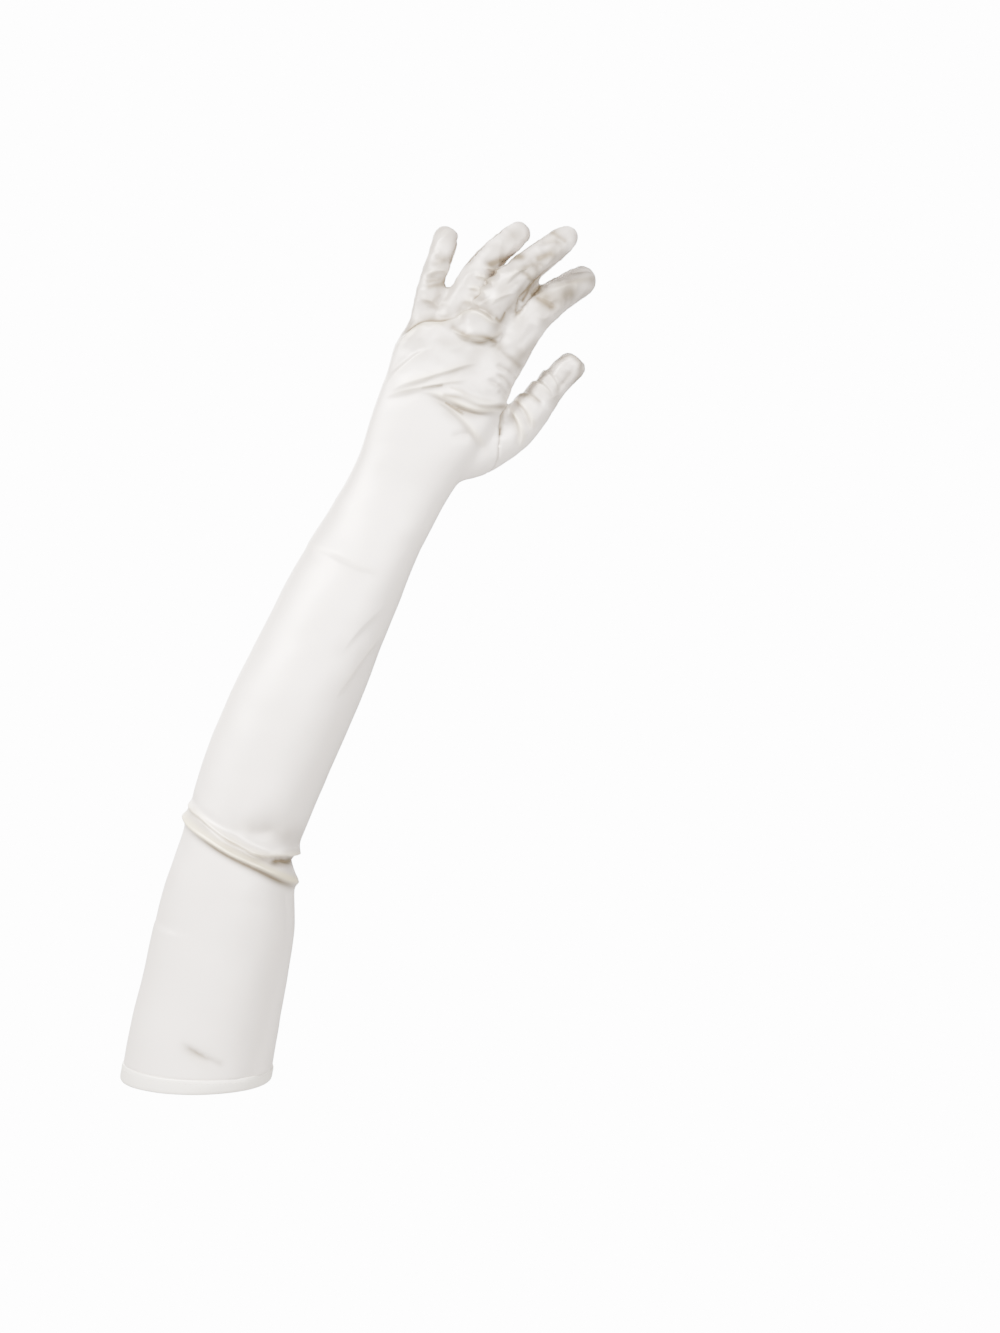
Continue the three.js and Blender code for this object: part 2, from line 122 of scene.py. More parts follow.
# The girths of each finger: share of the length and share of the width.
GIRTHS = {
    "index": ((0.0, 1.08), (0.3, 1.12), (0.5, 1.06), (0.72, 0.92), (1.0, 0.82)),
    "middle": ((0.0, 1.02), (0.3, 1.07), (0.5, 1.05), (0.72, 0.9), (1.0, 0.72)),
    "ring": ((0.0, 0.84), (0.3, 0.82), (0.5, 0.94), (0.72, 0.92), (1.0, 0.8)),
    "little": ((0.0, 0.84), (0.3, 0.79), (0.5, 0.86), (0.72, 0.87), (1.0, 0.86)),
    "thumb": (
        (0.0, 0.9),
        (0.14, 1.32),
        (0.3, 1.27),
        (0.47, 1.13),
        (0.62, 0.98),
        (0.78, 0.9),
        (1.0, 0.86),
    ),
}
FINGER_DEPTH = 0.94
GIRTH_REACH = 0.06
JOINT_REACH = 0.09

# The folds that show on the hand, the thumb and the sleeve. Each runs through the given places (x, z) seen
# from the front. height is outwards, left and right are its half widths to either side of its path, and
# valley is the depth of the hollow along its steeper side as a share of the height.
FOLD_COLUMNS = ("height", "left", "right", "valley", "path")
FOLDS = {
    "knuckle_crease": (
        1.5, 1.5, 8.0, 1.3,
        (
            (120.6, 435.6),
            (124.4, 439.9),
            (129.0, 443.6),
            (133.6, 446.8),
            (138.6, 448.8),
            (147.7, 449.0),
            (156.2, 452.0),
            (162.8, 455.6),
        ),
    ),
    "knuckle_lump_top": (
        2.2, 1.2, 5.0, 1.3,
        ((151.0, 449.4), (157.0, 452.6), (161.8, 455.8), (166.7, 456.6),
         (172.2, 454.0), (177.0, 450.2), (184.0, 447.6)),
    ),
    "knuckle_lump_foot": (
        1.8, 5.0, 1.3, 1.2,
        ((153.0, 447.0), (158.0, 443.4), (165.0, 440.6),
         (173.0, 440.2), (180.0, 443.0), (185.4, 448.6)),
    ),
    "knuckle_hollow": (
        -1.6, 4.4, 4.4, 0.0,
        ((160.0, 437.0), (170.0, 434.0), (178.0, 436.5), (183.6, 441.0)),
    ),
    "index_base_crease": (
        -1.0, 1.2, 3.6, 0.5,
        ((178.0, 436.2), (184.0, 431.2), (188.4, 428.0), (196.4, 421.0)),
    ),
    "back_fold_1": (
        0.8, 1.6, 9.0, 0.9,
        ((113.6, 411.6), (120.2, 419.0), (127.4, 425.4), (134.0, 430.4), (142.4, 434.6)),
    ),
    "back_fold_2": (
        1.2, 8.0, 1.5, 1.1,
        ((116.0, 409.4), (126.0, 413.6), (138.0, 417.8),
         (150.6, 421.4), (160.0, 424.4), (170.8, 426.6)),
    ),
    "back_fold_3": (
        1.1, 4.6, 1.6, 0.9,
        ((112.0, 405.4), (124.0, 409.6), (136.0, 412.2),
         (148.0, 414.0), (158.0, 415.6), (166.0, 418.4)),
    ),
    "back_fold_4": (
        1.6, 7.0, 1.6, 1.1,
        ((134.0, 409.6), (144.0, 408.4), (153.0, 405.0),
         (162.0, 400.8), (172.0, 398.6), (188.0, 400.2)),
    ),
    "back_fold_5": (
        1.0, 1.5, 4.0, 0.9,
        ((146.0, 412.6), (156.0, 409.4), (165.0, 405.4), (176.0, 402.4), (188.0, 403.8)),
    ),
    "gusset_crease": (
        1.2, 6.0, 1.5, 1.0,
        ((142.0, 405.4), (150.0, 401.8), (157.4, 396.0),
         (164.4, 388.6), (170.0, 381.6), (175.0, 372.0)),
    ),
    "palm_crease": (-0.8, 1.6, 3.6, 0.3, ((152.0, 381.4), (159.0, 383.6), (166.6, 383.0))),
    "pucker_1": (-0.9, 1.0, 1.6, 0.3, ((177.6, 425.0), (183.6, 423.4), (189.4, 419.4), (192.6, 414.6))),
    "pucker_2": (-1.1, 1.0, 1.5, 0.3, ((178.6, 419.6), (183.4, 417.6), (187.6, 413.8), (190.2, 409.0))),
    "pucker_3": (-0.9, 0.9, 1.4, 0.3, ((174.6, 416.4), (180.0, 413.6), (185.2, 409.2), (188.2, 404.0))),
    "pucker_4": (-0.8, 0.9, 1.4, 0.3, ((180.6, 409.8), (184.0, 407.0), (187.0, 402.6))),
    "thumb_fold_1": (
        1.3, 4.4, 1.0, 1.0,
        ((185.6, 403.6), (190.6, 397.6), (194.0, 390.6), (195.6, 383.4), (194.4, 375.0)),
    ),
    "thumb_fold_2": (1.3, 4.0, 1.0, 1.0, ((189.4, 407.6), (196.4, 402.0), (200.4, 395.0), (202.4, 386.0))),
    "thumb_fold_3": (0.9, 1.0, 4.2, 1.0, ((188.6, 405.6), (195.6, 408.6), (201.6, 407.4), (208.0, 401.6))),
    "thumb_fold_4": (0.9, 1.0, 4.2, 1.0, ((195.6, 413.0), (202.0, 416.2), (207.6, 413.8), (214.0, 406.6))),
    "thumb_fold_5": (0.8, 1.1, 4.2, 1.0, ((202.6, 423.6), (209.0, 423.0), (214.4, 416.6), (218.4, 408.6))),
    "thumb_fold_6": (-1.0, 1.6, 2.6, 0.4, ((227.4, 428.4), (223.4, 419.0), (218.6, 411.6), (216.6, 404.0))),
    "thumb_tip_seam": (
        -0.7, 0.8, 0.8, 0.0,
        ((214.0, 430.0), (224.0, 434.6), (231.5, 429.5), (231.8, 419.0)),
    ),
    "index_tip_seam": (
        -0.7, 0.8, 0.8, 0.0,
        ((212.0, 476.0), (226.0, 482.0), (236.0, 483.0), (240.4, 481.0)),
    ),
    "index_middle_joint": (
        -1.6, 2.4, 5.6, 0.5,
        ((198.4, 468.6), (206.0, 465.0), (213.6, 460.6), (219.0, 456.0)),
    ),
    "index_middle_ridge": (0.9, 1.4, 4.0, 0.4, ((210.0, 465.4), (222.0, 472.0), (236.0, 479.6))),
    "index_dent": (-0.6, 3.0, 5.0, 0.0, ((193.0, 435.0), (199.0, 441.6), (205.6, 447.6))),
    "middle_band_1": (-1.1, 2.6, 1.6, 0.4, ((203.6, 494.6), (212.0, 498.6), (222.6, 496.6))),
    "middle_band_3": (-1.6, 3.6, 4.4, 0.2, ((193.0, 478.6), (202.0, 484.4), (211.6, 481.6))),
    "middle_band_4": (1.0, 4.0, 1.4, 0.8, ((184.6, 471.0), (192.0, 479.0), (202.6, 483.6))),
    "middle_band_5": (-1.1, 3.4, 1.8, 0.4, ((180.0, 462.6), (188.0, 470.4), (198.6, 473.6))),
    "middle_band_6": (0.9, 3.0, 1.4, 0.6, ((174.6, 457.6), (182.0, 464.6), (192.6, 467.6))),
    "middle_inner_seam": (
        -1.1, 1.2, 1.8, 0.0,
        ((202.0, 478.0), (196.2, 468.6), (191.6, 461.0), (187.0, 455.0), (183.0, 447.6)),
    ),
    "ladder_1": (1.2, 3.0, 1.2, 0.7, ((172.0, 483.6), (179.0, 482.0), (184.6, 476.6))),
    "ladder_2": (1.2, 3.0, 1.2, 0.7, ((166.0, 478.6), (173.6, 477.0), (179.0, 471.0))),
    "ladder_3": (1.2, 3.0, 1.2, 0.7, ((162.0, 471.0), (170.0, 470.0), (175.6, 464.6))),
    "ladder_4": (1.1, 3.0, 1.2, 0.7, ((158.6, 464.0), (166.0, 462.6), (171.6, 457.6))),
    "ring_shade": (-1.4, 4.4, 4.0, 0.0, ((170.6, 484.6), (181.0, 488.6), (192.0, 489.6))),
    "little_band_1": (-1.1, 3.4, 1.8, 0.4, ((140.0, 485.0), (147.0, 488.6), (155.6, 487.6))),
    "little_band_2": (0.9, 3.0, 1.4, 0.6, ((137.6, 477.6), (145.0, 481.6), (153.6, 481.0))),
    "little_band_3": (-1.3, 3.4, 1.8, 0.4, ((135.6, 471.6), (143.6, 475.6), (152.0, 473.6))),
    "little_crease": (0.9, 4.0, 1.4, 0.6, ((134.0, 463.6), (141.0, 463.6), (148.0, 457.6))),
    "elbow_second": (
        2.6, 2.6, 1.3, 0.8,
        ((8.0, 154.6), (20.0, 148.0), (30.0, 142.0), (39.6, 137.6),
         (50.0, 135.8), (60.0, 136.0), (84.0, 137.6)),
    ),
    "elbow_soft": (
        1.5, 4.0, 1.2, 0.7,
        ((-16.0, 178.0), (-8.0, 170.6), (-2.0, 165.0), (6.0, 158.4),
         (14.0, 152.4), (24.0, 146.0), (36.0, 140.0)),
    ),
    "elbow_hollow": (-2.0, 9.0, 8.0, 0.0, ((12.0, 156.0), (34.0, 150.0), (50.0, 151.0), (64.0, 158.0))),
    "elbow_notch": (-1.8, 2.0, 2.0, 0.0, ((40.0, 131.6), (52.0, 131.4), (64.0, 131.0), (84.0, 127.0))),
    "upper_dent": (-1.2, 1.6, 4.0, 0.3, ((-8.0, 26.4), (2.0, 20.4), (10.0, 15.6), (20.0, 11.0))),
    "upper_ripple": (0.35, 1.5, 8.0, 1.0, ((-30.0, 97.6), (-20.0, 91.6), (-10.0, 88.6), (2.0, 87.0))),
    "forearm_crease": (0.7, 8.0, 1.4, 0.8, ((84.0, 226.0), (94.0, 240.6), (102.0, 252.4), (114.0, 268.6))),
    "forearm_crease_2": (0.5, 8.0, 1.6, 0.6, ((88.0, 254.0), (99.0, 268.4), (116.0, 284.4))),
    "wrist_tuck": (
        0.7, 9.0, 1.8, 0.7,
        ((61.0, 324.0), (70.0, 319.4), (84.0, 313.2), (98.0, 306.6), (116.0, 301.6)),
    ),
}
CREST_SOFTNESS = 0.4
# Painted shade: the share of the fold colour that the fingers take all over.
FINGER_SHADE = 0.4
# The mesh is refined where it faces the viewer, near folds that are steeper than FINE_BELOW.
FRONT_REFINED = 0.0
FINE_BELOW = 1.65
FINE_REACH = 1.0
# Places along the sleeve in millimetres, and the sides of its rings.
WRIST_JOIN = 345.0
HAND_FROM = 385.0
ROLL_FROM = 118.0
ROLL_TO = 196.0
SLEEVE_SIDES = 100
# Painted warm highlight on the crests, and the tones of the hem and its thread beside the cloth's.
CREST_HIGHLIGHT_COLOUR = (0.96, 0.84, 0.55)
HEM_TONE = (1.01, 1.04, 1.01)
THREAD_TONE = (0.96, 0.97, 0.94)
# The stitches' height and radius in millimetres, and their rings: lift and share of the radius.
STITCH_HEIGHT = 7.0
STITCH_RADIUS = 0.2
STITCH_RINGS = ((-0.3, 0.4), (0.1, 0.9), (0.2, 1.0), (0.1, 0.9), (-0.3, 0.4))
STITCH_PITCH = 8
# Points that are measured against a limb at a time.
POINTS_AT_ONCE = 8000
WANDER = 0.7

# Painted shade: the darker patches that the satin shows between the folds, with strength, half width and path
# seen from the front.
SHADE_COLUMNS = ("strength", "width", "path")
SHADES = {
    "little_tip": (0.5, 4.4, ((150.0, 504.0), (151.0, 500.0))),
    "little_bend": (0.72, 3.6, ((146.0, 487.0), (153.0, 488.6))),
    "little_base": (0.85, 2.4, ((140.4, 472.0), (147.6, 473.2), (151.0, 476.0))),
    "ring_tip": (0.33, 5.0, ((184.0, 506.0), (194.0, 503.0))),
    "ring_bend": (0.97, 3.8, ((177.0, 486.0), (186.0, 488.4), (195.0, 489.0))),
    "ring_side": (0.85, 3.2, ((180.0, 481.0), (173.0, 471.0))),
    "ring_base": (0.65, 2.6, ((166.6, 466.4), (173.6, 462.4))),
    "middle_tip": (0.78, 1.7, ((213.0, 504.0), (220.6, 498.8))),
    "middle_bend": (0.97, 3.8, ((206.0, 488.0), (212.0, 490.6))),
    "middle_side": (0.78, 2.2, ((196.0, 480.0), (202.0, 474.0))),
    "middle_seam": (0.97, 1.3, ((200.6, 472.6), (195.8, 463.0))),
    "middle_root": (0.45, 3.4, ((186.0, 470.0), (182.0, 458.0))),
    "index_bend": (0.85, 5.4, ((204.0, 469.0), (213.0, 465.0), (224.0, 468.0))),
    "index_under": (0.59, 2.6, ((208.0, 470.0), (222.0, 474.6), (236.0, 478.0))),
    "lump_under": (0.91, 2.6, ((154.6, 446.4), (163.0, 442.0), (172.0, 441.2), (180.0, 438.6))),
    "lump_side": (0.72, 4.6, ((176.0, 438.6), (182.0, 436.0))),
    "lump_hook": (0.97, 1.4, ((180.4, 451.6), (183.0, 450.4), (186.0, 455.0))),
    "index_root": (0.52, 2.2, ((183.8, 432.5), (188.7, 428.8), (194.0, 424.4))),
    "back_hollow": (0.72, 1.5, ((137.0, 411.4), (148.0, 412.6))),
    "palm_hollow": (0.78, 2.0, ((150.0, 406.8), (160.0, 405.2), (170.0, 401.0), (185.0, 400.8))),
    "gusset_hollow": (0.97, 1.6, ((150.4, 402.4), (160.4, 396.2))),
    "thumb_root": (0.65, 1.4, ((184.4, 400.0), (182.8, 385.0))),
    "thumb_bend": (0.72, 2.0, ((192.4, 408.0), (199.0, 407.4), (205.0, 404.6))),
    "thumb_tip": (0.65, 2.6, ((216.0, 431.0), (226.0, 432.0), (230.6, 424.0), (228.6, 416.0))),
    "arm_dent": (0.5, 2.4, ((-2.0, 22.0), (8.0, 16.6), (17.0, 12.8))),
    "elbow_soft_shade": (0.39, 8.0, ((38.0, 152.0), (60.0, 146.0))),
}

# The roll of cloth around the elbow, and how far its crest droops over the sleeve below it.
ROLL_PATH = (
    (-16.0, 167.0),
    (-7.2, 162.0),
    (0.6, 154.0),
    (12.0, 146.4),
    (24.6, 138.6),
    (42.0, 129.6),
    (53.4, 123.0),
    (63.0, 117.8),
    (74.0, 113.0),
)
ROLL_HEIGHT = 5.4
ROLL_ABOVE = 3.4
ROLL_BELOW = 2.7
ROLL_DROOP = 1.5
ROLL_HOLLOW = 1.6

# Seams
SEAMS_ABOVE = 340.0
SEAM_GROOVE = 0.55
SEAM_HALF_WIDTH = 0.9
PUCKER_SPACING = 7.0
PUCKER_HEIGHT = 0.16
CRINKLE_HEIGHT = 0.35
STRIP_HALF_WIDTH = 4.6
STRIP_TIP_HALF_WIDTH = 1.6
STRIP_ROOT = -9.0
STRIP_WIDENS = 26.0
# The thumb's seam through places seen from the front, and how far it runs into the palm.
THUMB_SEAM = ((186.4, 415.0), (183.0, 395.0), (181.6, 362.0))
THUMB_SEAM_INTO_PALM = 9.0


def heading(lean, away):
    """Direction that leans from upright towards +X and falls away from the viewer, in degrees."""
    flat = math.cos(math.radians(away))
    return np.array(
        (
            math.sin(math.radians(lean)) * flat,
            math.sin(math.radians(away)),
            math.cos(math.radians(lean)) * flat,
        )
    )


def unit(vectors):
    """The vectors at length one."""
    return vectors / np.linalg.norm(vectors, axis=-1, keepdims=True)


def smoothstep(low, high, value):
    """Smooth rise from 0 at low to 1 at high."""
    share = np.clip((value - low) / (high - low), 0.0, 1.0)
    return share * share * (3.0 - 2.0 * share)


class Spine:
    """A bent centre line made of straight runs with rounded corners."""

    SOFTEN = np.linspace(-1.0, 1.0, 9)
    BEYOND = 2000.0

    def __init__(self, start, runs, reach):
        lengths = [run[0] for run in runs]
        turns = [heading(run[1], run[2]) for run in runs]
        places = [np.asarray(start, dtype=float)]
        for length, turn in zip(lengths, turns):
            places.append(places[-1] + turn * length)
        self.length = sum(lengths)
        self.reach = reach
        self.knots = np.concatenate(([-self.BEYOND], np.cumsum([0.0, *lengths])))
        self.knots[-1] += self.BEYOND
        places[-1] = places[-1] + turns[-1] * self.BEYOND
        self.places = np.array([places[0] - turns[0] * self.BEYOND, *places])

    def at(self, along):
        """Points on the line at the given distances."""
        along = np.asarray(along, dtype=float)
        spread = along[..., None] + self.SOFTEN * self.reach
        axes = [np.interp(spread, self.knots, self.places[:, axis]).mean(axis=-1) for axis in range(3)]
        return np.stack(axes, axis=-1)

    def ahead(self, along):
        """Unit headings of the line at the given distances."""
        along = np.asarray(along, dtype=float)
        return unit(self.at(along + 1.0) - self.at(along - 1.0))


def softened(rows, index, reach):
    """A table's column as a function of distance, with its corners rounded."""
    along = np.array([row[0] for row in rows])
    values = np.array([row[index] for row in rows])

    def value(distance):
        distance = np.asarray(distance, dtype=float)
        spread = distance[..., None] + Spine.SOFTEN * reach
        return np.interp(spread, along, values).mean(axis=-1)

    return value


AWAY = np.array((0.0, 1.0, 0.0))
SLEEVE_SPINE = Spine((0.0, 0.0, 0.0), SLEEVE_RUNS, BEND_REACH)
SECTION = {
    name: softened(SLEEVE_SECTIONS, index, SECTION_REACH)
    for index, name in enumerate(SECTION_COLUMNS)
    if index
}


class Sleeve:
    """The tube of the sleeve, wrist and palm."""

    length = SLEEVE_END

    def axes(self, along):
        """Across and towards-the-viewer directions of the sections."""
        ahead = SLEEVE_SPINE.ahead(along)
        lean = np.radians(SECTION["plane"](along))
        plane = unit(np.stack((np.sin(lean), ahead[..., 1], np.cos(lean)), axis=-1))
        across = unit(np.cross(AWAY, plane))
        return across, np.cross(across, plane)

    def at(self, along):
        across, _ = self.axes(along)
        shift = SECTION["shift"](along) * SECTION["width"](along)
        return SLEEVE_SPINE.at(along) + across * shift[..., None]

    def ahead(self, along):
        return SLEEVE_SPINE.ahead(along)

    def radii(self, along):
        into = np.clip((along - (SLEEVE_END - WEB_LENGTH)) / WEB_LENGTH, 0.0, 1.0)
        close = np.sqrt(1.0 - into**2)
        width = SECTION["width"](along)
        across = width / 2 * (0.78 + 0.22 * close)
        depth = width * SECTION["depth"](along) / 2 * (close * 0.78 + 0.22)
        return across, depth

    def square(self, along):
        return SECTION["square"](along)


class Finger:
    """The tube of one finger."""

    def __init__(self, name):
        row = dict(zip(FINGER_COLUMNS, FINGERS[name]))
        self.name = name
        self.length = row["length"]
        self.width = row["width"]
        self.blunt = row["blunt"]
        self.back = row["back"]
        toward_hand = SLEEVE_SPINE.ahead(FINGER_LINE)
        across = unit(np.cross(AWAY, toward_hand))
        toward = np.cross(across, toward_hand)
        start = (
            SLEEVE_SPINE.at(FINGER_LINE)
            - toward_hand * row["back"] * HAND_LENGTH
            + across * row["across"] * KNUCKLE_WIDTH
            + toward * row["toward"] * self.width
        )
        runs = [(share * self.length, lean, away) for share, lean, away in BONES[name]]
        self.spine = Spine(start, runs, JOINT_REACH * self.length)
        self.girth = softened(GIRTHS[name], 1, GIRTH_REACH)
        self.tip = self.width * 0.48

    def at(self, along):
        return self.spine.at(along)

    def ahead(self, along):
        return self.spine.ahead(along)

    def axes(self, along):
        ahead = self.spine.ahead(along)
        across = unit(np.cross(AWAY, ahead))
        return across, np.cross(across, ahead)

    def radii(self, along):
        into = np.clip((along - (self.length - self.tip)) / self.tip, 0.0, 0.999)
        close = (1.0 - into**self.blunt) ** (1.0 / self.blunt)
        radius = self.width / 2 * self.girth(along / self.length) * close
        return radius, radius * FINGER_DEPTH

    def square(self, along):
        return np.full_like(along, 2.0)


SLEEVE = Sleeve()
LIMBS = {"sleeve": SLEEVE, **{name: Finger(name) for name in FINGERS}}


def limb_rings(limb, first, step, sides):
    """The limb's rings of points, with its tip stations packed closely."""
    end = limb.length
    stations = np.append(np.arange(first, end - 10.0, step), np.linspace(end - 10.0, end - 0.15, 9))
    angle = np.linspace(0.0, 2 * math.pi, sides, endpoint=False)
    across, toward = limb.axes(stations)
    wide, deep = limb.radii(stations)
    power = (2.0 / limb.square(stations))[:, None]
    sideways = np.sign(np.cos(angle)) * np.abs(np.cos(angle)) ** power * wide[:, None]
    outwards = np.sign(np.sin(angle)) * np.abs(np.sin(angle)) ** power * deep[:, None]
    middle = limb.at(stations)
    return (
        middle[:, None, :]
        + sideways[..., None] * across[:, None, :]
        + outwards[..., None] * toward[:, None, :]
    )


def add_tube(bm, rings):
    """A closed tube through the rings, in metres, facing outwards."""
    loops = [[bm.verts.new(Vector(point) * MM) for point in ring] for ring in rings]
    sides = len(loops[0])
    for lower, upper in zip(loops, loops[1:]):
        for side in range(sides):
            after = (side + 1) % sides
            bm.faces.new((lower[after], lower[side], upper[side], upper[after]))
    bm.faces.new(loops[0])
    bm.faces.new(reversed(loops[-1]))


def link(name, mesh):
    """A new object in the scene."""
    obj = bpy.data.objects.new(name, mesh)
    bpy.context.scene.collection.objects.link(obj)
    return obj


def fused_body(voxel):
    """All the limbs as one skin with blended joins."""
    bm = bmesh.new()
    add_tube(bm, limb_rings(SLEEVE, -14.0, 3.0, 72))
    for name in FINGERS:
        add_tube(bm, limb_rings(LIMBS[name], 0.0, 2.0, 40))
    mesh = bpy.data.meshes.new("limbs")
    bm.to_mesh(mesh)
    bm.free()
    obj = link("limbs", mesh)
    remesh = obj.modifiers.new("fuse", "REMESH")
    remesh.mode = "VOXEL"
    remesh.voxel_size = voxel * MM
    fused = bpy.data.meshes.new_from_object(obj.evaluated_get(bpy.context.evaluated_depsgraph_get()))
    bpy.data.objects.remove(obj)
    bpy.data.meshes.remove(mesh)
    bm = bmesh.new()
    bm.from_mesh(fused)
    bpy.data.meshes.remove(fused)
    return bm


def coordinates(bm):
    """The vertices' places in millimetres."""
    return np.array([vert.co[:] for vert in bm.verts]) / MM


def place(bm, points):
    """Moves the vertices to the points, given in millimetres."""
    for vert, point in zip(bm.verts, points * MM):
        vert.co = point
    bm.normal_update()


def along_limb(limb, points):
    """Each point's distance along the limb, with its offsets across and towards the viewer."""
    stations = np.arange(-30.0, limb.length + 12.0, 1.5)
    line = limb.at(stations)
    nearest = np.empty(len(points), dtype=int)
    for first in range(0, len(points), POINTS_AT_ONCE):
        block = points[first : first + POINTS_AT_ONCE]
        gap = ((block[:, None, :] - line[None, :, :]) ** 2).sum(axis=-1)
        nearest[first : first + POINTS_AT_ONCE] = gap.argmin(axis=1)
    along = stations[nearest]
    offset = points - line[nearest]
    along = along + (offset * limb.ahead(along)).sum(axis=-1)
    offset = points - limb.at(along)
    across, toward = limb.axes(along)
    return along, (offset * across).sum(axis=-1), (offset * toward).sum(axis=-1)


def curve_through(path, steps=8):
    """A smooth line through the path's places."""
    knots = np.array([path[0], *path, path[-1]], dtype=float)
    line = []
    for first in range(len(path) - 1):
        before, start, end, after = knots[first : first + 4]
        for share in np.linspace(0.0, 1.0, steps, endpoint=first == len(path) - 2):
            line.append(
                0.5
                * (
                    2 * start
                    + (end - before) * share
                    + (2 * before - 5 * start + 4 * end - after) * share**2
                    + (3 * start - before - 3 * end + after) * share**3
                )
            )
    return np.array(line)


def beside(points, path):
    """Signed distance of the points from the path seen from the front, left of it positive, and the share
    of the path where they lie."""
    line = curve_through(path)
    flat = points[:, (0, 2)]
    best = np.full(len(points), np.inf)
    signed = np.zeros(len(points))
    share = np.zeros(len(points))
    lengths = np.linalg.norm(np.diff(line, axis=0), axis=1)
    starts = np.concatenate(([0.0], np.cumsum(lengths)))
    for index, (start, end) in enumerate(zip(line, line[1:])):
        run = end - start
        offset = flat - start
        reach = np.clip(offset @ run / (run @ run), 0.0, 1.0)
        gap = np.linalg.norm(offset - reach[:, None] * run, axis=1)
        closer = gap < best
        side = np.sign(run[0] * offset[:, 1] - run[1] * offset[:, 0])
        best = np.where(closer, gap, best)
        signed = np.where(closer, gap * side, signed)
        share = np.where(closer, (starts[index] + reach * lengths[index]) / starts[-1], share)
    return signed, share


def crest(distance, left, right):
    """A crisp line with soft flanks, 1 at the line."""
    width = np.where(distance > 0, left, right)
    soft = np.maximum(np.sqrt(distance**2 + CREST_SOFTNESS**2) - CREST_SOFTNESS, 0.0)
    return np.exp(-((soft / width) ** 1.4))


def satin_shade(points, outward):
    """How much painted shade the points take from the SHADES patches, from 0 to 1."""
    shade = np.zeros(len(points))
    front = smoothstep(-0.5, 0.0, -outward[:, 1])
    vary = 1.0 + 0.25 * drift(points, 8.0, 21.0)
    flat = points[:, (0, 2)]
    for row in SHADES.values():
        patch = dict(zip(SHADE_COLUMNS, row))
        path = np.array(patch["path"])
        spare = 2.4 * patch["width"]
        near = ((flat > path.min(axis=0) - spare) & (flat < path.max(axis=0) + spare)).all(axis=1)
        distance, _ = beside(points[near], patch["path"])
        here = patch["strength"] * np.exp(-((distance / patch["width"]) ** 2)) * (front * vary)[near]
        shade[near] = np.maximum(shade[near], here)
    return shade


def fold_relief(points, outward):
    """Height of the folds at the points, the painted shade in their hollows and the painted warm highlight on
    their crests, the last two from 0 to 1.
    """
    front = smoothstep(-0.5, 0.0, -outward[:, 1])
    height = np.zeros(len(points))
    depth = np.zeros(len(points))
    fold_highlight = np.zeros(len(points))
    vary = 1.0 + 0.45 * drift(points, 11.0, 3.0)
    points = points + WANDER * np.stack([drift(points, 14.0, seed) for seed in (11.0, 12.0, 13.0)], axis=-1)
    for row in FOLDS.values():
        fold = dict(zip(FOLD_COLUMNS, row))
        path = np.array(fold["path"])
        spare = 2.2 * max(fold["left"], fold["right"]) + 3.0
        flat = points[:, (0, 2)]
        within = (flat > path.min(axis=0) - spare) & (flat < path.max(axis=0) + spare)
        near = within.all(axis=1) & (front > 0)
        distance, share = beside(points[near], fold["path"])
        reach = smoothstep(0.0, 0.32, share) * smoothstep(0.0, 0.32, 1.0 - share) * front[near] * vary[near]
        steep = min(fold["left"], fold["right"])
        side = 1.0 if fold["left"] < fold["right"] else -1.0
        over = np.maximum(side * distance, 0.0)
        hollow = fold["valley"] * (np.exp(-((over / (3.6 * steep)) ** 2)) - np.exp(-((over / steep) ** 2)))
        form = crest(distance, fold["left"], fold["right"])
        size = abs(fold["height"])
        height[near] += (fold["height"] * form - size * hollow) * reach
        # Painted shade in the fold's hollow, or over the whole of a sunken fold.
        low = hollow if fold["height"] > 0 else form
        narrow = min(1.0, 3.0 / steep) ** 2
        depth[near] = np.maximum(depth[near], low * reach * narrow * np.clip((size - 0.6) * 1.1, 0.0, 1.0))
        # Painted warm highlight along the crest of a raised fold.
        if fold["height"] > 0:
            crest_highlight = np.exp(-((distance / 2.0) ** 2)) * reach * min(1.0, size - 0.5)
            fold_highlight[near] = np.maximum(fold_highlight[near], crest_highlight)
    return height, depth, fold_highlight


def near_folds(points, widest, spare):
    """Marks the points close to the folds whose steeper side is narrower than widest."""
    close = np.zeros(len(points), dtype=bool)
    flat = points[:, (0, 2)]
    for row in FOLDS.values():
        fold = dict(zip(FOLD_COLUMNS, row))
        steep = min(fold["left"], fold["right"])
        if steep >= widest:
            continue
        path = np.array(fold["path"])
        reach = spare + WANDER
        near = ((flat > path.min(axis=0) - reach) & (flat < path.max(axis=0) + reach)).all(axis=1)
        distance, _ = beside(points[near], fold["path"])
        close[near] |= np.abs(distance) < reach
    return close


def refine(bm, chosen):
    """Halves the mesh size between the chosen vertices and rounds the cut faces off."""
    inner = bm.verts.layers.float["inner"]
    picked = bm.verts.layers.float["picked"]
    for vert, value in zip(bm.verts, chosen):
        vert[picked] = float(value)
    edges = [edge for edge in bm.edges if edge.verts[0][picked] > 0.9 and edge.verts[1][picked] > 0.9]
    bmesh.ops.subdivide_edges(bm, edges=edges, cuts=1, use_grid_fill=True)
    soft = [
        vert
        for vert in bm.verts
        if vert[picked] > 0.9 and all(edge.other_vert(vert)[inner] < 0.5 for edge in vert.link_edges)
    ]
    for _ in range(2):
        bmesh.ops.smooth_vert(bm, verts=soft, factor=0.5, use_axis_x=True, use_axis_y=True, use_axis_z=True)


def outer_side(bm):
    """Marks the vertices of the cloth's outer side that face the viewer or the side."""
    inner = bm.verts.layers.float["inner"]
    outward = bm.verts.layers.float_vector["outward"]
    return np.array([vert[inner] < 0.5 and vert[outward].y < FRONT_REFINED for vert in bm.verts])


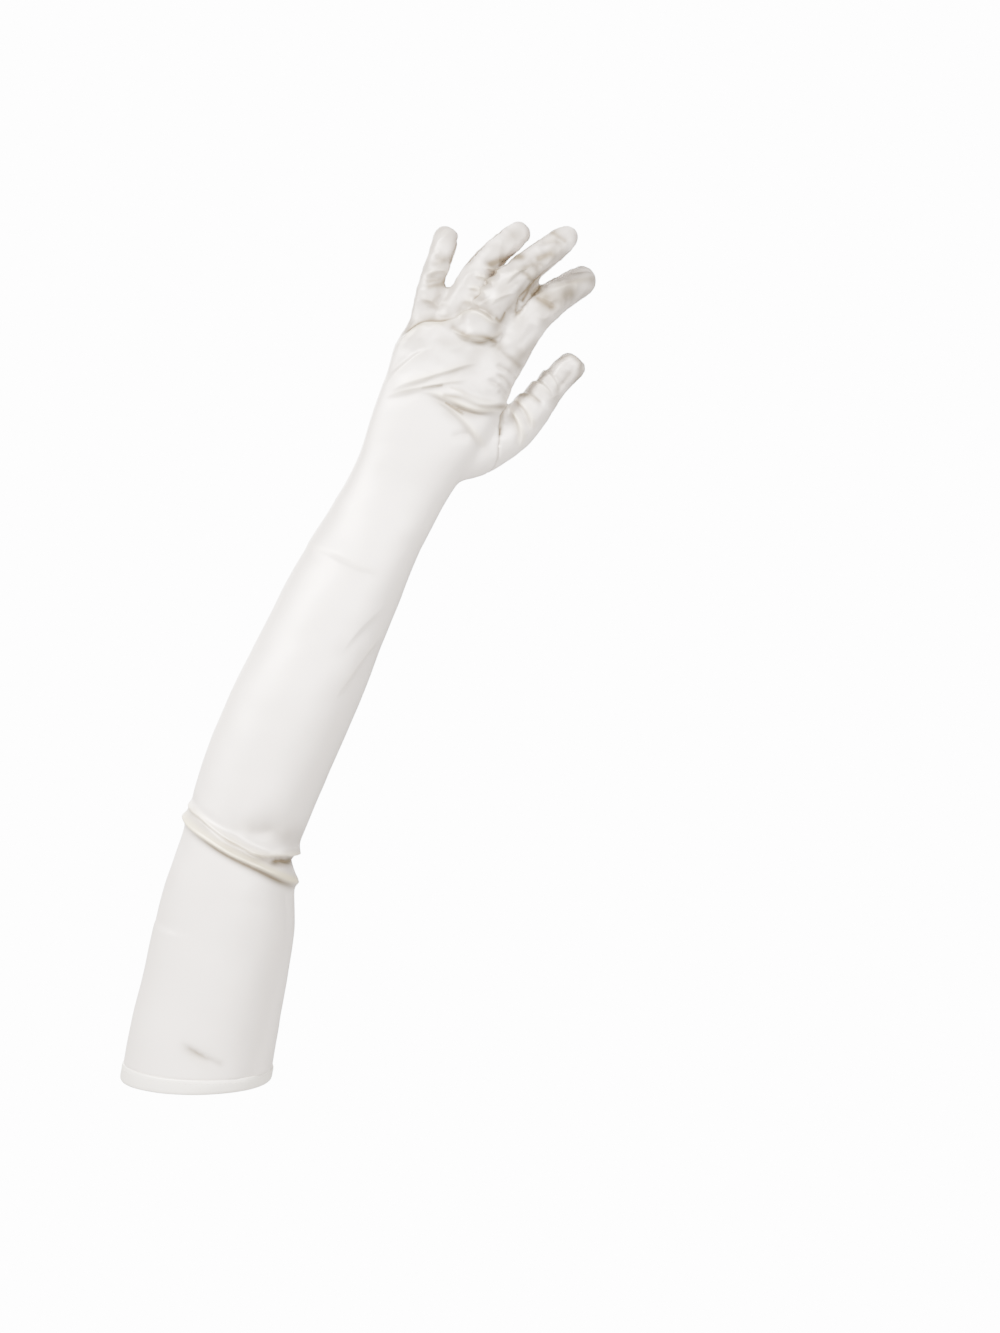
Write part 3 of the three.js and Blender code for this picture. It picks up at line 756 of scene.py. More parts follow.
def front_of_hand(bm):
    """Marks the outer vertices of the hand's viewer side and of the elbow roll."""
    points = coordinates(bm)
    along = (points - SLEEVE_SPINE.at(0.0)) @ heading(20.0, 0.0)
    distance, _ = beside(points, ROLL_PATH)
    wanted = (along > HAND_FROM) | (np.abs(distance + 1.0) < 14.0) | near_folds(points, 9.0, 6.0)
    return outer_side(bm) & wanted


def evened(bm, values, rounds):
    """The vertices' values averaged with their neighbours'."""
    ends = np.array([[vert.index for vert in edge.verts] for edge in bm.edges])
    for _ in range(rounds):
        total = values.copy()
        count = np.ones(len(values))
        for near, far in (ends.T, ends.T[::-1]):
            np.add.at(total, near, values[far])
            np.add.at(count, near, 1.0)
        values = total / count
    return values


def split_along(bm, values):
    """Splits faces so that the line where the values change sign lies on edges."""
    level = {vert: value for vert, value in zip(bm.verts, values)}
    fresh = []
    for edge in list(bm.edges):
        first, second = edge.verts
        low, high = level[first], level[second]
        if (low < 0) == (high < 0):
            continue
        share = low / (low - high)
        if share < 0.08 or share > 0.92:
            near = first if share < 0.5 else second
            fresh.append(near)
            level[near] = 0.0
            continue
        _, vert = bmesh.utils.edge_split(edge, first, share)
        level[vert] = 0.0
        fresh.append(vert)
    bmesh.ops.connect_verts(bm, verts=list(set(fresh)))
    return level


def sleeve_stations():
    """Distances of the sleeve's rings, close together around the elbow roll."""
    return np.concatenate(
        (
            np.arange(HEM_HEIGHT - 1.5, ROLL_FROM, 4.0),
            np.arange(ROLL_FROM, ROLL_TO, 2.2),
            np.arange(ROLL_TO, WRIST_JOIN - 1.0, 4.0),
        )
    )


def ring_at(limb, station, sides, grow=0.0):
    """One ring of points around the limb, grown outwards by grow."""
    station = np.array([station])
    angle = np.linspace(0.0, 2 * math.pi, sides, endpoint=False)
    across, toward = limb.axes(station)
    wide, deep = limb.radii(station)
    power = 2.0 / limb.square(station)[0]
    sideways = np.sign(np.cos(angle)) * np.abs(np.cos(angle)) ** power * (wide[0] + grow)
    outwards = np.sign(np.sin(angle)) * np.abs(np.sin(angle)) ** power * (deep[0] + grow)
    return limb.at(station) + sideways[:, None] * across + outwards[:, None] * toward


def build_skin(voxel):
    """The whole outer skin of the glove: an even tube for the sleeve joined to the fused hand."""
    bm = fused_body(voxel)
    station = np.array([WRIST_JOIN])
    across, toward = SLEEVE.axes(station)
    normal = np.cross(toward[0], across[0])
    middle = SLEEVE.at(station)[0]
    bmesh.ops.bisect_plane(
        bm,
        geom=bm.verts[:] + bm.edges[:] + bm.faces[:],
        plane_co=middle * MM,
        plane_no=normal,
        clear_inner=True,
    )
    for _ in range(6):
        inner = [vert for vert in bm.verts if not vert.is_boundary]
        bmesh.ops.smooth_vert(bm, verts=inner, factor=0.5, use_axis_x=True, use_axis_y=True, use_axis_z=True)
    hand_edges = [edge for edge in bm.edges if edge.is_boundary]
    loops = []
    for station in sleeve_stations():
        ring = ring_at(SLEEVE, station, SLEEVE_SIDES)
        loops.append([bm.verts.new(Vector(point) * MM) for point in ring])
    for lower, upper in zip(loops, loops[1:]):
        for side in range(SLEEVE_SIDES):
            after = (side + 1) % SLEEVE_SIDES
            bm.faces.new((lower[after], lower[side], upper[side], upper[after]))
    last = set(loops[-1])
    last_edges = [edge for vert in loops[-1] for edge in vert.link_edges if edge.other_vert(vert) in last]
    bmesh.ops.bridge_loops(bm, edges=list(set(hand_edges + last_edges)))
    bmesh.ops.recalc_face_normals(bm, faces=bm.faces[:])
    near_wrist = [
        vert
        for vert in bm.verts
        if abs((vert.co / MM - Vector(middle)).dot(Vector(normal))) < 9.0 and not vert.is_boundary
    ]
    relax(bm, near_wrist, 8)
    return bm


def relax(bm, verts, rounds):
    """Evens out the vertices a few times over."""
    for _ in range(rounds):
        bmesh.ops.smooth_vert(bm, verts=verts, factor=0.5, use_axis_x=True, use_axis_y=True, use_axis_z=True)


def blend_webs(bm, points):
    """Softens the skin where the fingers leave the hand."""
    along, _, _ = along_limb(SLEEVE, points)
    level = smoothstep(SLEEVE_END - 34.0, SLEEVE_END - 18.0, along)
    level *= 1.0 - smoothstep(SLEEVE_END - 6.0, SLEEVE_END + 10.0, along)
    for share, rounds in ((0.15, 6), (0.5, 6), (0.85, 6)):
        chosen = [vert for vert, value in zip(bm.verts, level) if value > share]
        relax(bm, chosen, rounds)


def finger_region(name, points, side):
    """How far the points lie inside the finger's seam strip, on the given side of the finger."""
    limb = LIMBS[name]
    along, across, toward = along_limb(limb, points)
    wide, _ = limb.radii(np.clip(along, 0.0, limb.length - limb.tip))
    first = limb.back * HAND_LENGTH - STRIP_ROOT
    last = limb.length - limb.tip * 0.8
    share = np.clip((along - first) / (last - first), 0.0, 1.0)
    half = STRIP_HALF_WIDTH + (STRIP_TIP_HALF_WIDTH - STRIP_HALF_WIDTH) * share**2
    half *= 0.15 + 0.85 * smoothstep(first, first + STRIP_WIDENS, along)
    reach = 1.3 * wide - np.hypot(across, toward)
    inside = np.minimum.reduce(
        (half - np.abs(toward), along - first, (last - along) * 0.5, side * across - wide * 0.3, reach)
    )
    return inside, along


def thumb_region(points):
    """How far the points lie on the thumb's side of its seam."""
    limb = LIMBS["thumb"]
    along, across, toward = along_limb(limb, points)
    wide, _ = limb.radii(np.clip(along, 0.0, limb.length - limb.tip))
    _, _, palm = along_limb(SLEEVE, points)
    shift = THUMB_SEAM_INTO_PALM * smoothstep(4.0, -12.0, palm)
    line, _ = beside(points, THUMB_SEAM)
    return np.minimum(line + shift, 1.35 * wide - np.hypot(across, toward))


STRIPS = {
    "fourchette_index_middle": ("index", "middle"),
    "fourchette_middle_ring": ("middle", "ring"),
    "fourchette_ring_little": ("ring", "little"),
}
PANELS = ("main_panel", "thumb", *STRIPS)


def strip_region(name, points):
    """How far the points lie inside a seam strip, and their distance along its fingers."""
    near_thumb, near_little = STRIPS[name]
    first, first_along = finger_region(near_thumb, points, -1.0)
    second, second_along = finger_region(near_little, points, 1.0)
    return np.maximum(first, second), np.where(first > second, first_along, second_along)


def label_panels(bm):
    """Marks each face with the panel it belongs to, with the seams on edges."""
    layer = bm.faces.layers.int.new("panel")
    for number, name in enumerate(PANELS):
        if not number:
            continue
        bm.verts.index_update()
        points = coordinates(bm)
        region = thumb_region(points) if name == "thumb" else strip_region(name, points)[0]
        level = split_along(bm, evened(bm, np.maximum(region, -6.0), 4))
        for face in bm.faces:
            values = [level.get(vert, 0.0) for vert in face.verts]
            if sum(values) > 0 and max(values) > 1e-4:
                face[layer] = number
    return layer


def seam_relief(points):
    """The groove and puckers along the seams, and how close each point is to a seam from 0 to 1."""
    height = np.zeros(len(points))
    closeness = np.zeros(len(points))
    hand = np.flatnonzero(points[:, 2] > SEAMS_ABOVE)
    points = points[hand]
    for name in PANELS[1:]:
        if name == "thumb":
            region = thumb_region(points)
            along = points[:, 2]
        else:
            region, along = strip_region(name, points)
        near = np.exp(-((region / SEAM_HALF_WIDTH) ** 2))
        pucker = np.sin(along * 2 * math.pi / PUCKER_SPACING + np.sin(along * 0.31) * 1.5)
        pucker *= np.exp(-((region / 3.2) ** 2))
        height[hand] += PUCKER_HEIGHT * pucker - SEAM_GROOVE * near
        closeness[hand] = np.maximum(closeness[hand], near)
    return height, closeness


def roll_shift(points, outward):
    """Movement of the points that makes the elbow's roll of cloth, the painted shade under it and the painted
    highlight on its crest.
    """
    distance, share = beside(points, ROLL_PATH)
    front = smoothstep(-0.4, 0.5, -outward[:, 1])
    swell = (0.55 + 0.45 * np.sin(np.clip(share, 0.0, 1.0) * math.pi)) * (0.72 + 0.28 * front)
    width = np.where(distance > 0, ROLL_ABOVE, ROLL_BELOW)
    form = np.exp(-((np.sqrt(distance**2 + 0.3) / width) ** 1.6)) * swell
    hollow = np.exp(-(((distance - 2.4 * ROLL_ABOVE) / ROLL_ABOVE) ** 2)) * swell
    droop = np.exp(-((distance / 5.0) ** 2)) * swell
    down = -SLEEVE_SPINE.ahead(np.full(len(points), 140.0))
    moved = outward * (ROLL_HEIGHT * form - ROLL_HOLLOW * hollow)[:, None]
    # Painted shade under the roll, and a painted warm highlight along its crest.
    middle = smoothstep(0.1, 0.4, share) * (1.0 - 0.7 * smoothstep(0.75, 1.0, share)) * front
    shade = np.exp(-(((distance + 3.0) / 2.4) ** 2)) * middle
    crest_highlight = np.exp(-(((distance - 0.6) / 2.4) ** 2)) * front
    return moved + down * (ROLL_DROOP * droop * form)[:, None], shade, crest_highlight


def drift(points, scale, seed):
    """Soft seeded unevenness from -1 to 1."""
    offset = Vector((seed * 3.1, seed * 7.7, seed * 1.3))
    return np.array([noise.noise(Vector(point) / scale + offset) for point in points])


def drape(bm, settings):
    """Gives the cloth its folds, elbow roll, seam grooves and unevenness, stores its painted shade and
    painted highlight, and returns where it lies along.
    """
    outward_layer = bm.verts.layers.float_vector["outward"]
    inner_layer = bm.verts.layers.float["inner"]
    outward = unit(np.array([vert[outward_layer][:] for vert in bm.verts]))
    inner = np.array([vert[inner_layer] for vert in bm.verts])
    wall = outward * (inner * settings.thickness)[:, None]
    points = coordinates(bm) + wall
    along, _, _ = along_limb(SLEEVE, points)
    folds, depth, fold_highlight = fold_relief(points, outward)
    # Painted shade from the folds, the patches between them and all over the fingers.
    depth = np.maximum(depth, satin_shade(points, outward))
    uneven = np.clip(1.0 + 1.2 * drift(points, 10.0, 31.0), 0.0, 2.0)
    tone = FINGER_SHADE * smoothstep(435.0, 475.0, along) * uneven * smoothstep(0.9, -0.3, outward[:, 1])
    depth = 1.0 - (1.0 - depth) * (1.0 - tone)
    seams, closeness = seam_relief(points)
    loose = drift(points, 34.0, 1.0) * 0.7 + drift(points, 13.0, 2.0) * 0.22
    crinkle = (0.5 - np.abs(drift(points, 8.0, 4.0)) * 2.0) * smoothstep(430.0, 470.0, along)
    at_mouth = smoothstep(0.0, 30.0, along)
    height = folds * settings.fold_strength + seams + loose * at_mouth + CRINKLE_HEIGHT * crinkle
    height = np.where(inner > 0.5, lowest_near(bm, height), height)
    shift, shade, crest_highlight = roll_shift(points, outward)
    place(bm, points - wall + outward * height[:, None] + shift * settings.fold_strength)
    # Painted shade, darker still along the seam grooves, and the painted highlight, kept for the material.
    store_float(bm, "painted_shade", np.clip(np.maximum(depth, shade) + closeness * 0.4, 0.0, 1.0))
    store_float(bm, "painted_highlight", np.clip(np.maximum(fold_highlight * 0.5, crest_highlight), 0.0, 1.0))
    return along


def lowest_near(bm, values):
    """The lowest of each vertex's value and its neighbours' values."""
    bm.verts.index_update()
    ends = np.array([[vert.index for vert in edge.verts] for edge in bm.edges])
    lowest = values.copy()
    np.minimum.at(lowest, ends[:, 0], values[ends[:, 1]])
    np.minimum.at(lowest, ends[:, 1], values[ends[:, 0]])
    return lowest


def keep_outward(bm):
    """Keeps each vertex's outward direction through later cuts."""
    bm.verts.layers.float_vector.new("outward")
    bm.verts.layers.float.new("inner")
    bm.verts.layers.float.new("picked")
    layer = bm.verts.layers.float_vector["outward"]
    bm.normal_update()
    for vert in bm.verts:
        vert[layer] = vert.normal


def add_wall(bm, thickness):
    """Adds the inner side of the cloth and the rim that closes it to the outer side."""
    outward = bm.verts.layers.float_vector["outward"]
    inner = bm.verts.layers.float["inner"]
    open_edges = [edge for edge in bm.edges if edge.is_boundary]
    rim = [(loop.vert, loop.link_loop_next.vert) for edge in open_edges for loop in edge.link_loops]
    copied = bmesh.ops.duplicate(bm, geom=bm.verts[:] + bm.edges[:] + bm.faces[:])
    twin = copied["vert_map"]
    faces = [item for item in copied["geom"] if isinstance(item, bmesh.types.BMFace)]
    bmesh.ops.reverse_faces(bm, faces=faces)
    for item in copied["geom"]:
        if isinstance(item, bmesh.types.BMVert):
            item[inner] = 1.0
            item.co -= item[outward].normalized() * thickness * MM
    for first, second in rim:
        bm.faces.new((second, first, twin[first], twin[second]))


def keep_panel(bm, layer_name, number):
    """A copy of the skin with one panel's faces only."""
    copy = bm.copy()
    layer = copy.faces.layers.int[layer_name]
    others = [face for face in copy.faces if face[layer] != number]
    bmesh.ops.delete(copy, geom=others, context="FACES")
    return copy


def add_cloth_map(bm, along):
    """A map of the cloth in millimetres: around the glove, then along it."""
    uv = bm.loops.layers.uv.new("cloth")
    middle = SLEEVE.at(along)
    across, toward = SLEEVE.axes(along)
    offset = coordinates(bm) - middle
    turn = np.arctan2((offset * toward).sum(axis=-1), (offset * across).sum(axis=-1))
    around = turn * 30.0
    rows = {vert: (around[index], along[index]) for index, vert in enumerate(bm.verts)}
    for face in bm.faces:
        spread = [rows[loop.vert][0] for loop in face.loops]
        wraps = max(spread) - min(spread) > 90.0
        for loop in face.loops:
            across_mm, along_mm = rows[loop.vert]
            if wraps and across_mm < 0:
                across_mm += 2 * math.pi * 30.0
            loop[uv].uv = (across_mm / 100.0, along_mm / 100.0)


def socket(tree, name, kind, way, default=None):
    """A socket on a node group's interface."""
    made = tree.interface.new_socket(name, in_out=way, socket_type=kind)
    if default is not None:
        made.default_value = default
    return made


def node(tree, kind, place, **values):
    """A node of the kind at the place with its properties and named or numbered inputs set."""
    made = tree.nodes.new(kind)
    made.location = place
    for name, value in values.items():
        if name == "inputs":
            for key, number in value.items():
                made.inputs[key].default_value = number
        else:
            setattr(made, name, value)
    return made


def weave_group():
    """Node group: the height of a satin weave and a slow unevenness, from the cloth map."""
    tree = bpy.data.node_groups.new("satin_weave", "ShaderNodeTree")
    socket(tree, "Cloth", "NodeSocketVector", "INPUT")
    socket(tree, "Weave", "NodeSocketFloat", "OUTPUT")
    socket(tree, "Slub", "NodeSocketFloat", "OUTPUT")
    start = node(tree, "NodeGroupInput", (-900, 0))
    end = node(tree, "NodeGroupOutput", (600, 0))
    turn = node(tree, "ShaderNodeMapping", (-700, 150), inputs={"Rotation": (0.0, 0.0, 0.35)})
    threads = node(
        tree,
        "ShaderNodeTexWave",
        (-450, 200),
        bands_direction="X",
        inputs={"Scale": 75.0, "Distortion": 2.5, "Detail": 2.0, "Detail Scale": 1.5},
    )
    stretch = node(tree, "ShaderNodeMapping", (-700, -150), inputs={"Scale": (60.0, 7.0, 1.0)})
    slub = node(tree, "ShaderNodeTexNoise", (-450, -150),
                inputs={"Scale": 1.0, "Detail": 3.0, "Roughness": 0.6})
    tree.links.new(start.outputs["Cloth"], turn.inputs["Vector"])
    tree.links.new(turn.outputs["Vector"], threads.inputs["Vector"])
    tree.links.new(start.outputs["Cloth"], stretch.inputs["Vector"])
    tree.links.new(stretch.outputs["Vector"], slub.inputs["Vector"])
    tree.links.new(threads.outputs["Fac"], end.inputs["Weave"])
    tree.links.new(slub.outputs["Fac"], end.inputs["Slub"])
    return tree


def satin(name, light, deep, highlight_colour, weave):
    """Ivory satin with painted shade in and between the folds, a painted warm highlight on the crests, a fine
    weave and a soft broad shine.
    """
    made = bpy.data.materials.new(name)
    made.use_nodes = True
    tree = made.node_tree
    shader = tree.nodes["Principled BSDF"]
    shader.inputs["Metallic"].default_value = 0.3
    shader.inputs["Anisotropic"].default_value = 0.6
    shader.inputs["Sheen Weight"].default_value = 0.1
    shader.inputs["Sheen Roughness"].default_value = 0.4
    cloth = node(tree, "ShaderNodeUVMap", (-1100, 0), uv_map="cloth")
    threads = node(tree, "ShaderNodeGroup", (-850, 0), node_tree=weave)
    # Painted shade and painted highlight amounts kept on the mesh.
    fold = node(tree, "ShaderNodeAttribute", (-1100, 350), attribute_name="painted_shade")
    body = node(tree, "ShaderNodeTexCoord", (-1100, -350))
    cloud = node(tree, "ShaderNodeTexNoise", (-850, -350), inputs={"Scale": 18.0, "Detail": 3.0})
    # Base colour: painted highlight towards the crest colour, then painted shade towards the fold colour.
    shade_mix = node(tree, "ShaderNodeMix", (-450, 250), data_type="RGBA")
    shade_mix.inputs["B"].default_value = (*deep, 1.0)
    crest_highlight = node(tree, "ShaderNodeAttribute", (-850, 600), attribute_name="painted_highlight")
    highlight_mix = node(tree, "ShaderNodeMix", (-650, 600), data_type="RGBA")
    highlight_mix.inputs["A"].default_value = (*light, 1.0)
    highlight_mix.inputs["B"].default_value = (*highlight_colour, 1.0)
    mottle = node(tree, "ShaderNodeMath", (-650, 100), operation="MULTIPLY_ADD", inputs={1: 0.12, 2: -0.05})
    share = node(tree, "ShaderNodeMath", (-600, 350), operation="ADD", use_clamp=True)
    shine = node(
        tree,
        "ShaderNodeMapRange",
        (-450, -50),
        inputs={"To Min": 0.47, "To Max": 0.58},
    )
    bump = node(tree, "ShaderNodeBump", (-250, -300), inputs={"Strength": 0.2, "Distance": 0.00008})
    height = node(tree, "ShaderNodeMath", (-450, -300), operation="ADD")
    links = tree.links
    links.new(cloth.outputs["UV"], threads.inputs["Cloth"])
    links.new(body.outputs["Object"], cloud.inputs["Vector"])
    links.new(cloud.outputs["Fac"], mottle.inputs[0])
    links.new(fold.outputs["Fac"], share.inputs[0])
    links.new(mottle.outputs["Value"], share.inputs[1])
    links.new(share.outputs["Value"], shade_mix.inputs["Factor"])
    links.new(crest_highlight.outputs["Fac"], highlight_mix.inputs["Factor"])
    links.new(highlight_mix.outputs["Result"], shade_mix.inputs["A"])
    links.new(shade_mix.outputs["Result"], shader.inputs["Base Color"])
    links.new(threads.outputs["Slub"], shine.inputs["Value"])
    links.new(shine.outputs["Result"], shader.inputs["Roughness"])
    links.new(threads.outputs["Weave"], height.inputs[0])
    links.new(threads.outputs["Slub"], height.inputs[1])
    links.new(height.outputs["Value"], bump.inputs["Height"])
    links.new(bump.outputs["Normal"], shader.inputs["Normal"])
    return made


def cloth_materials(settings):
    """The glove's materials, made once."""
    names = ("glove_satin", "hem_satin", "thread")
    if names[0] not in bpy.data.materials:
        weave = weave_group()
        light = np.array(settings.satin)
        tones = (light, light * HEM_TONE, light * THREAD_TONE)
        for name, tone in zip(names, tones):
            satin(name, tone, settings.shade, CREST_HIGHLIGHT_COLOUR, weave)
    return [bpy.data.materials[name] for name in names]


def store_float(bm, name, values):
    """Keeps a number for each vertex under the name."""
    layer = bm.verts.layers.float.new(name)
    for vert, value in zip(bm.verts, values):
        vert[layer] = float(value)


class GloveSettings(bpy.types.PropertyGroup):
    """Sizes that can be changed before the pieces are built."""

    voxel: FloatProperty(
        name="Hand Mesh Size", description="Mesh size of the hand in millimetres", default=1.85
    )
    thickness: FloatProperty(
        name="Cloth Thickness", description="Cloth thickness in millimetres", default=1.2
    )
    fold_strength: FloatProperty(
        name="Fold Strength", description="Height of the folds", default=1.0, subtype="FACTOR"
    )
    stitches: IntProperty(name="Hem Stitches", description="Stitches around the hem", default=84)
    satin: FloatVectorProperty(
        name="Satin Colour",
        description="Colour of the cloth where the light meets it squarely",
        default=(0.92, 0.835, 0.765),
        subtype="COLOR",
    )
    # Painted shade: the colour laid into the folds and the shaded patches between them.
    shade: FloatVectorProperty(
        name="Fold Colour",
        description="Colour of the deepest folds",
        default=(0.16, 0.125, 0.08),
        subtype="COLOR",
    )


class GLOVE_OT_panels(bpy.types.Operator):
    """Build the sleeve and hand, the thumb and the seam strips between the fingers"""

    bl_idname = "glove.panels"
    bl_label = "Cloth Panels"

    def execute(self, context):
        settings = context.scene.glove
        body, _, _ = cloth_materials(settings)
        bm = build_skin(settings.voxel)
        blend_webs(bm, coordinates(bm))
        label_panels(bm)
        keep_outward(bm)
        for number, name in enumerate(PANELS):
            panel = keep_panel(bm, "panel", number)
            add_wall(panel, settings.thickness)
            refine(panel, front_of_hand(panel))
            refine(panel, outer_side(panel) & near_folds(coordinates(panel), FINE_BELOW, FINE_REACH))
            add_cloth_map(panel, drape(panel, settings))
            mesh = bpy.data.meshes.new(name)
            panel.to_mesh(mesh)
            panel.free()
            obj = link(f"{name}_cloth", mesh)
            mesh.materials.append(body)
            mesh.shade_smooth()
            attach(obj, "root")
            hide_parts(name)
        bm.free()
        return {"FINISHED"}


HEM_PROFILE = (
    # height above the opening and distance outside the sleeve's surface
    (9.2, 0.1),
    (8.3, 0.45),
    (5.0, 0.6),
    (2.2, 0.7),
    (0.7, 0.5),
    (0.0, 0.0),
    (0.0, -0.8),
    (0.7, -1.5),
    (3.0, -1.8),
    (8.0, -1.7),
    (9.0, -1.3),
)


class GLOVE_OT_hem(bpy.types.Operator):
    """Build the turned hem around the arm opening"""

    bl_idname = "glove.hem"
    bl_label = "Turned Hem"

    def execute(self, context):
        _, hem, _ = cloth_materials(context.scene.glove)
        sides = 168
        bm = bmesh.new()
        loops = []
        for height, outside in HEM_PROFILE:
            ring = ring_at(SLEEVE, height, sides, outside)
            wave = drift(ring, 16.0, 5.0) * 0.35
            outward = unit(ring - SLEEVE.at(np.array([height])))
            ring = ring + outward * wave[:, None]
            loops.append([bm.verts.new(Vector(point) * MM) for point in ring])
        for lower, upper in zip(loops, loops[1:] + loops[:1]):
            for side in range(sides):
                after = (side + 1) % sides
                bm.faces.new((lower[side], lower[after], upper[after], upper[side]))
        bmesh.ops.recalc_face_normals(bm, faces=bm.faces[:])
        store_float(bm, "painted_shade", [0.0] * len(bm.verts))
        along = np.repeat([row[0] for row in HEM_PROFILE], sides)
        add_cloth_map(bm, along.astype(float))
        mesh = bpy.data.meshes.new("hem_cloth")
        bm.to_mesh(mesh)
        bm.free()
        obj = link("hem_cloth", mesh)
        mesh.materials.append(hem)
        mesh.shade_smooth()
        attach(obj, "root")
        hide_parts("hem")
        return {"FINISHED"}


class GLOVE_OT_stitching(bpy.types.Operator):
    """Build the row of stitches that holds the hem"""

    bl_idname = "glove.stitching"
    bl_label = "Hem Stitches"

    def execute(self, context):
        _, _, thread = cloth_materials(context.scene.glove)
        count = context.scene.glove.stitches
        line = ring_at(SLEEVE, STITCH_HEIGHT, count * STITCH_PITCH, 0.55)
        middle = SLEEVE.at(np.array([STITCH_HEIGHT]))[0]
        up = SLEEVE.ahead(np.array([STITCH_HEIGHT]))[0]
        bm = bmesh.new()
        for stitch in range(count):
            rings = []
            for step, (lift, girth) in enumerate(STITCH_RINGS):
                point = line[stitch * STITCH_PITCH + step]
                out = unit(point - middle)
                centre = point + out * lift
                ring = [
                    centre + (out * math.cos(turn) + up * math.sin(turn)) * STITCH_RADIUS * girth
                    for turn in np.linspace(0.0, 2 * math.pi, 6, endpoint=False)
                ]
                rings.append(ring)
            add_tube(bm, rings)
        bmesh.ops.recalc_face_normals(bm, faces=bm.faces[:])
        bm.loops.layers.uv.new("cloth")
        mesh = bpy.data.meshes.new("hem_stitching")
        bm.to_mesh(mesh)
        bm.free()
        obj = link("hem_stitching", mesh)
        mesh.materials.append(thread)
        mesh.shade_smooth()
        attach(obj, "root")
        return {"FINISHED"}


# The studio: lights by place, aim, size, power and colour
CAMERA_PLACE = (0.1824, -2.4, 0.2469)
LIGHT_COLUMNS = ("place", "aim", "size", "power", "colour")
LIGHTS = {
    "key": ((-2.1, -2.7, 2.5), (0.15, 0.0, 0.25), 1.1, 900.0, (1.0, 0.985, 0.96)),
    "back": ((-0.9, 3.0, 1.5), (0.15, 0.0, 0.25), 2.4, 330.0, (1.0, 0.985, 0.96)),
    "fill": ((1.9, -3.3, 0.7), (0.15, 0.0, 0.25), 1.6, 330.0, (1.0, 0.99, 0.98)),
}
FLOOR_LEVEL = -0.35
FLOOR_HALF_WIDTH = 8.0
SEEN_WHITE = 14.0
SURROUND_COLOUR = (1.0, 0.95, 0.87)
SURROUND_STRENGTH = 0.2


def paper_floor():
    """White paper that looks evenly lit to the camera, gives the glove little light and can be seen through
    from below."""
    made = bpy.data.materials.new("floor_paper")
    made.use_nodes = True
    tree = made.node_tree
    shader = tree.nodes["Principled BSDF"]
    shader.inputs["Base Color"].default_value = (0.25, 0.25, 0.25, 1.0)
    shader.inputs["Roughness"].default_value = 0.9
    seen = node(tree, "ShaderNodeLightPath", (-300, 300))
    side = node(tree, "ShaderNodeNewGeometry", (-300, -100))
    lit = node(tree, "ShaderNodeEmission", (-100, -200), inputs={"Strength": SEEN_WHITE})
    clear = node(tree, "ShaderNodeBsdfTransparent", (-100, -350))
    facing = node(tree, "ShaderNodeMixShader", (120, -200))
    either = node(tree, "ShaderNodeMixShader", (300, 0))
    links = tree.links
    links.new(side.outputs["Backfacing"], facing.inputs["Fac"])
    links.new(lit.outputs["Emission"], facing.inputs[1])
    links.new(clear.outputs["BSDF"], facing.inputs[2])
    links.new(seen.outputs["Is Camera Ray"], either.inputs["Fac"])
    links.new(shader.outputs["BSDF"], either.inputs[1])
    links.new(facing.outputs["Shader"], either.inputs[2])
    links.new(either.outputs["Shader"], tree.nodes["Material Output"].inputs["Surface"])
    return made


def white_world():
    """Surroundings that look white to the camera and light the glove softly."""
    world = bpy.data.worlds.new("studio")
    world.use_nodes = True
    tree = world.node_tree
    soft = tree.nodes["Background"]
    soft.inputs["Color"].default_value = (*SURROUND_COLOUR, 1.0)
    soft.inputs["Strength"].default_value = SURROUND_STRENGTH
    white = node(tree, "ShaderNodeBackground", (0, -200), inputs={"Strength": SEEN_WHITE})
    white.inputs["Color"].default_value = (1.0, 1.0, 1.0, 1.0)
    seen = node(tree, "ShaderNodeLightPath", (-200, 300))
    either = node(tree, "ShaderNodeMixShader", (250, 100))
    tree.links.new(seen.outputs["Is Camera Ray"], either.inputs["Fac"])
    tree.links.new(soft.outputs["Background"], either.inputs[1])
    tree.links.new(white.outputs["Background"], either.inputs[2])
    tree.links.new(either.outputs["Shader"], tree.nodes["World Output"].inputs["Surface"])
    return world


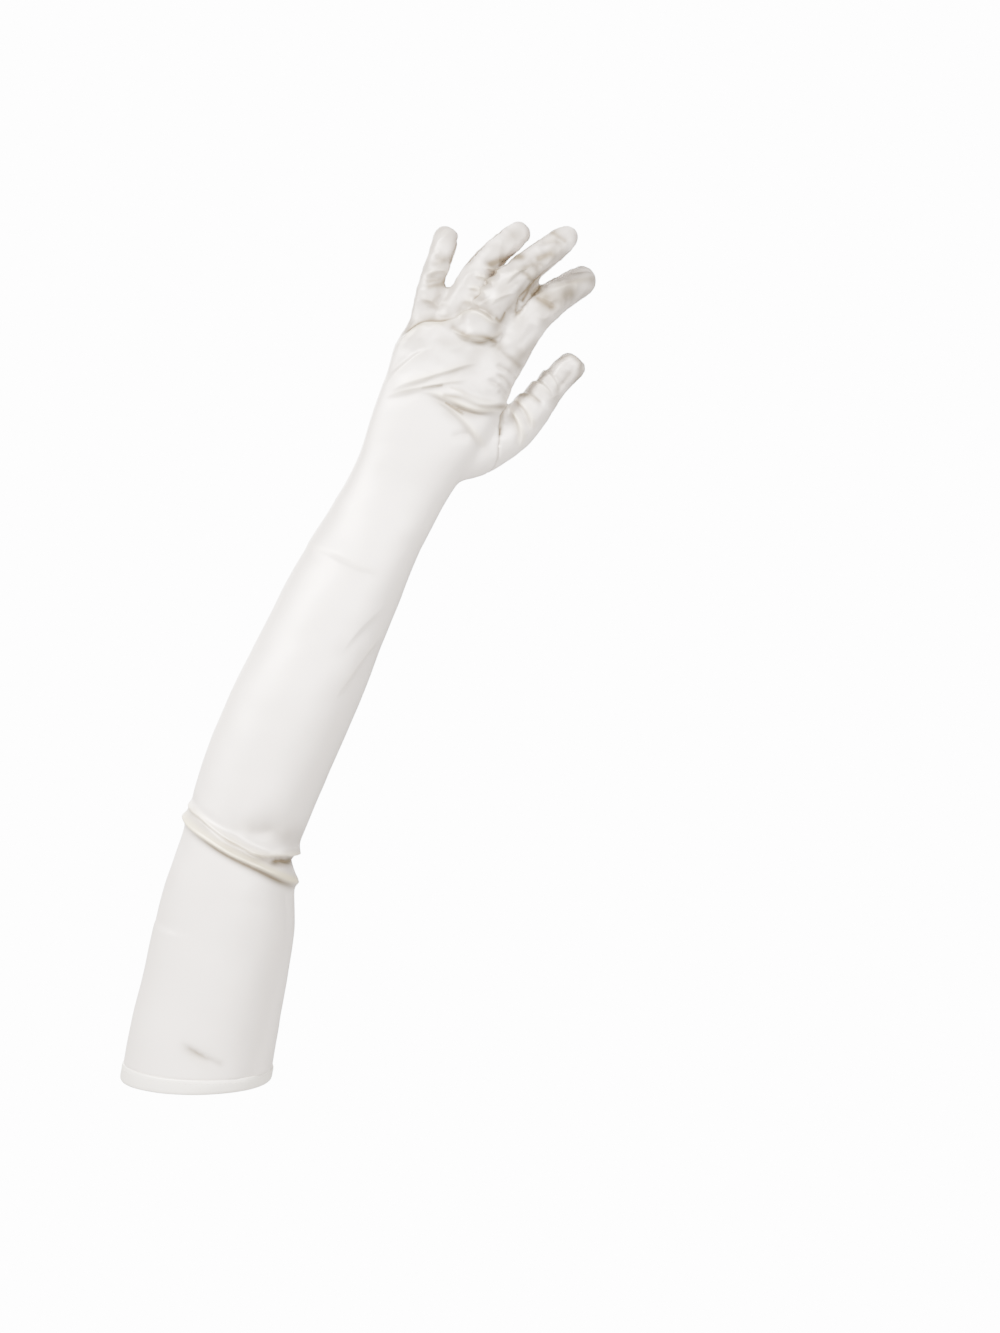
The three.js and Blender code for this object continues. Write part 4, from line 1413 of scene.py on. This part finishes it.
class GLOVE_OT_stage(bpy.types.Operator):
    """Set up the pale floor, the soft lights and the camera"""

    bl_idname = "glove.stage"
    bl_label = "Studio"

    def execute(self, context):
        scene = context.scene
        bm = bmesh.new()
        bmesh.ops.create_grid(bm, x_segments=8, y_segments=8, size=FLOOR_HALF_WIDTH)
        mesh = bpy.data.meshes.new("floor")
        bm.to_mesh(mesh)
        bm.free()
        mesh.transform(Matrix.Translation((0.0, 0.0, FLOOR_LEVEL)))
        mesh.materials.append(paper_floor())
        link("floor", mesh)
        for name, row in LIGHTS.items():
            light = dict(zip(LIGHT_COLUMNS, row))
            data = bpy.data.lights.new(name, "AREA")
            data.shape = "DISK"
            data.size = light["size"]
            data.energy = light["power"]
            data.color = light["colour"]
            lamp = bpy.data.objects.new(name, data)
            scene.collection.objects.link(lamp)
            lamp.location = light["place"]
            aim = Vector(light["aim"]) - Vector(light["place"])
            lamp.rotation_euler = aim.to_track_quat("-Z", "Y").to_euler()
        scene.world = white_world()
        data = bpy.data.cameras.new("camera")
        data.sensor_fit = "VERTICAL"
        data.sensor_height = 36.0
        data.lens = 108.0
        camera = bpy.data.objects.new("camera", data)
        camera.location = CAMERA_PLACE
        camera.rotation_euler = (math.radians(90.0), 0.0, 0.0)
        scene.collection.objects.link(camera)
        scene.camera = camera
        return {"FINISHED"}


class GLOVE_PT_sidebar(bpy.types.Panel):
    """The glove's controls"""

    bl_idname = "GLOVE_PT_sidebar"
    bl_label = "Satin Opera Glove"
    bl_space_type = "VIEW_3D"
    bl_region_type = "UI"
    bl_category = "Glove"

    def draw(self, context):
        layout = self.layout
        settings = context.scene.glove
        for name in ("voxel", "thickness", "fold_strength", "stitches", "satin", "shade"):
            layout.prop(settings, name)
        for operator in OPERATORS:
            layout.operator(operator.bl_idname)


OPERATORS = (GLOVE_OT_panels, GLOVE_OT_hem, GLOVE_OT_stitching, GLOVE_OT_stage)
CLASSES = (GloveSettings, *OPERATORS, GLOVE_PT_sidebar)


def register():
    for cls in CLASSES:
        bpy.utils.register_class(cls)
    bpy.types.Scene.glove = PointerProperty(type=GloveSettings)


def unregister():
    del bpy.types.Scene.glove
    for cls in reversed(CLASSES):
        bpy.utils.unregister_class(cls)


def main():
    """Builds the glove and its studio."""
    register()
    bpy.ops.glove.panels()
    bpy.ops.glove.hem()
    bpy.ops.glove.stitching()
    bpy.ops.glove.stage()


if __name__ == "__main__":
    main()
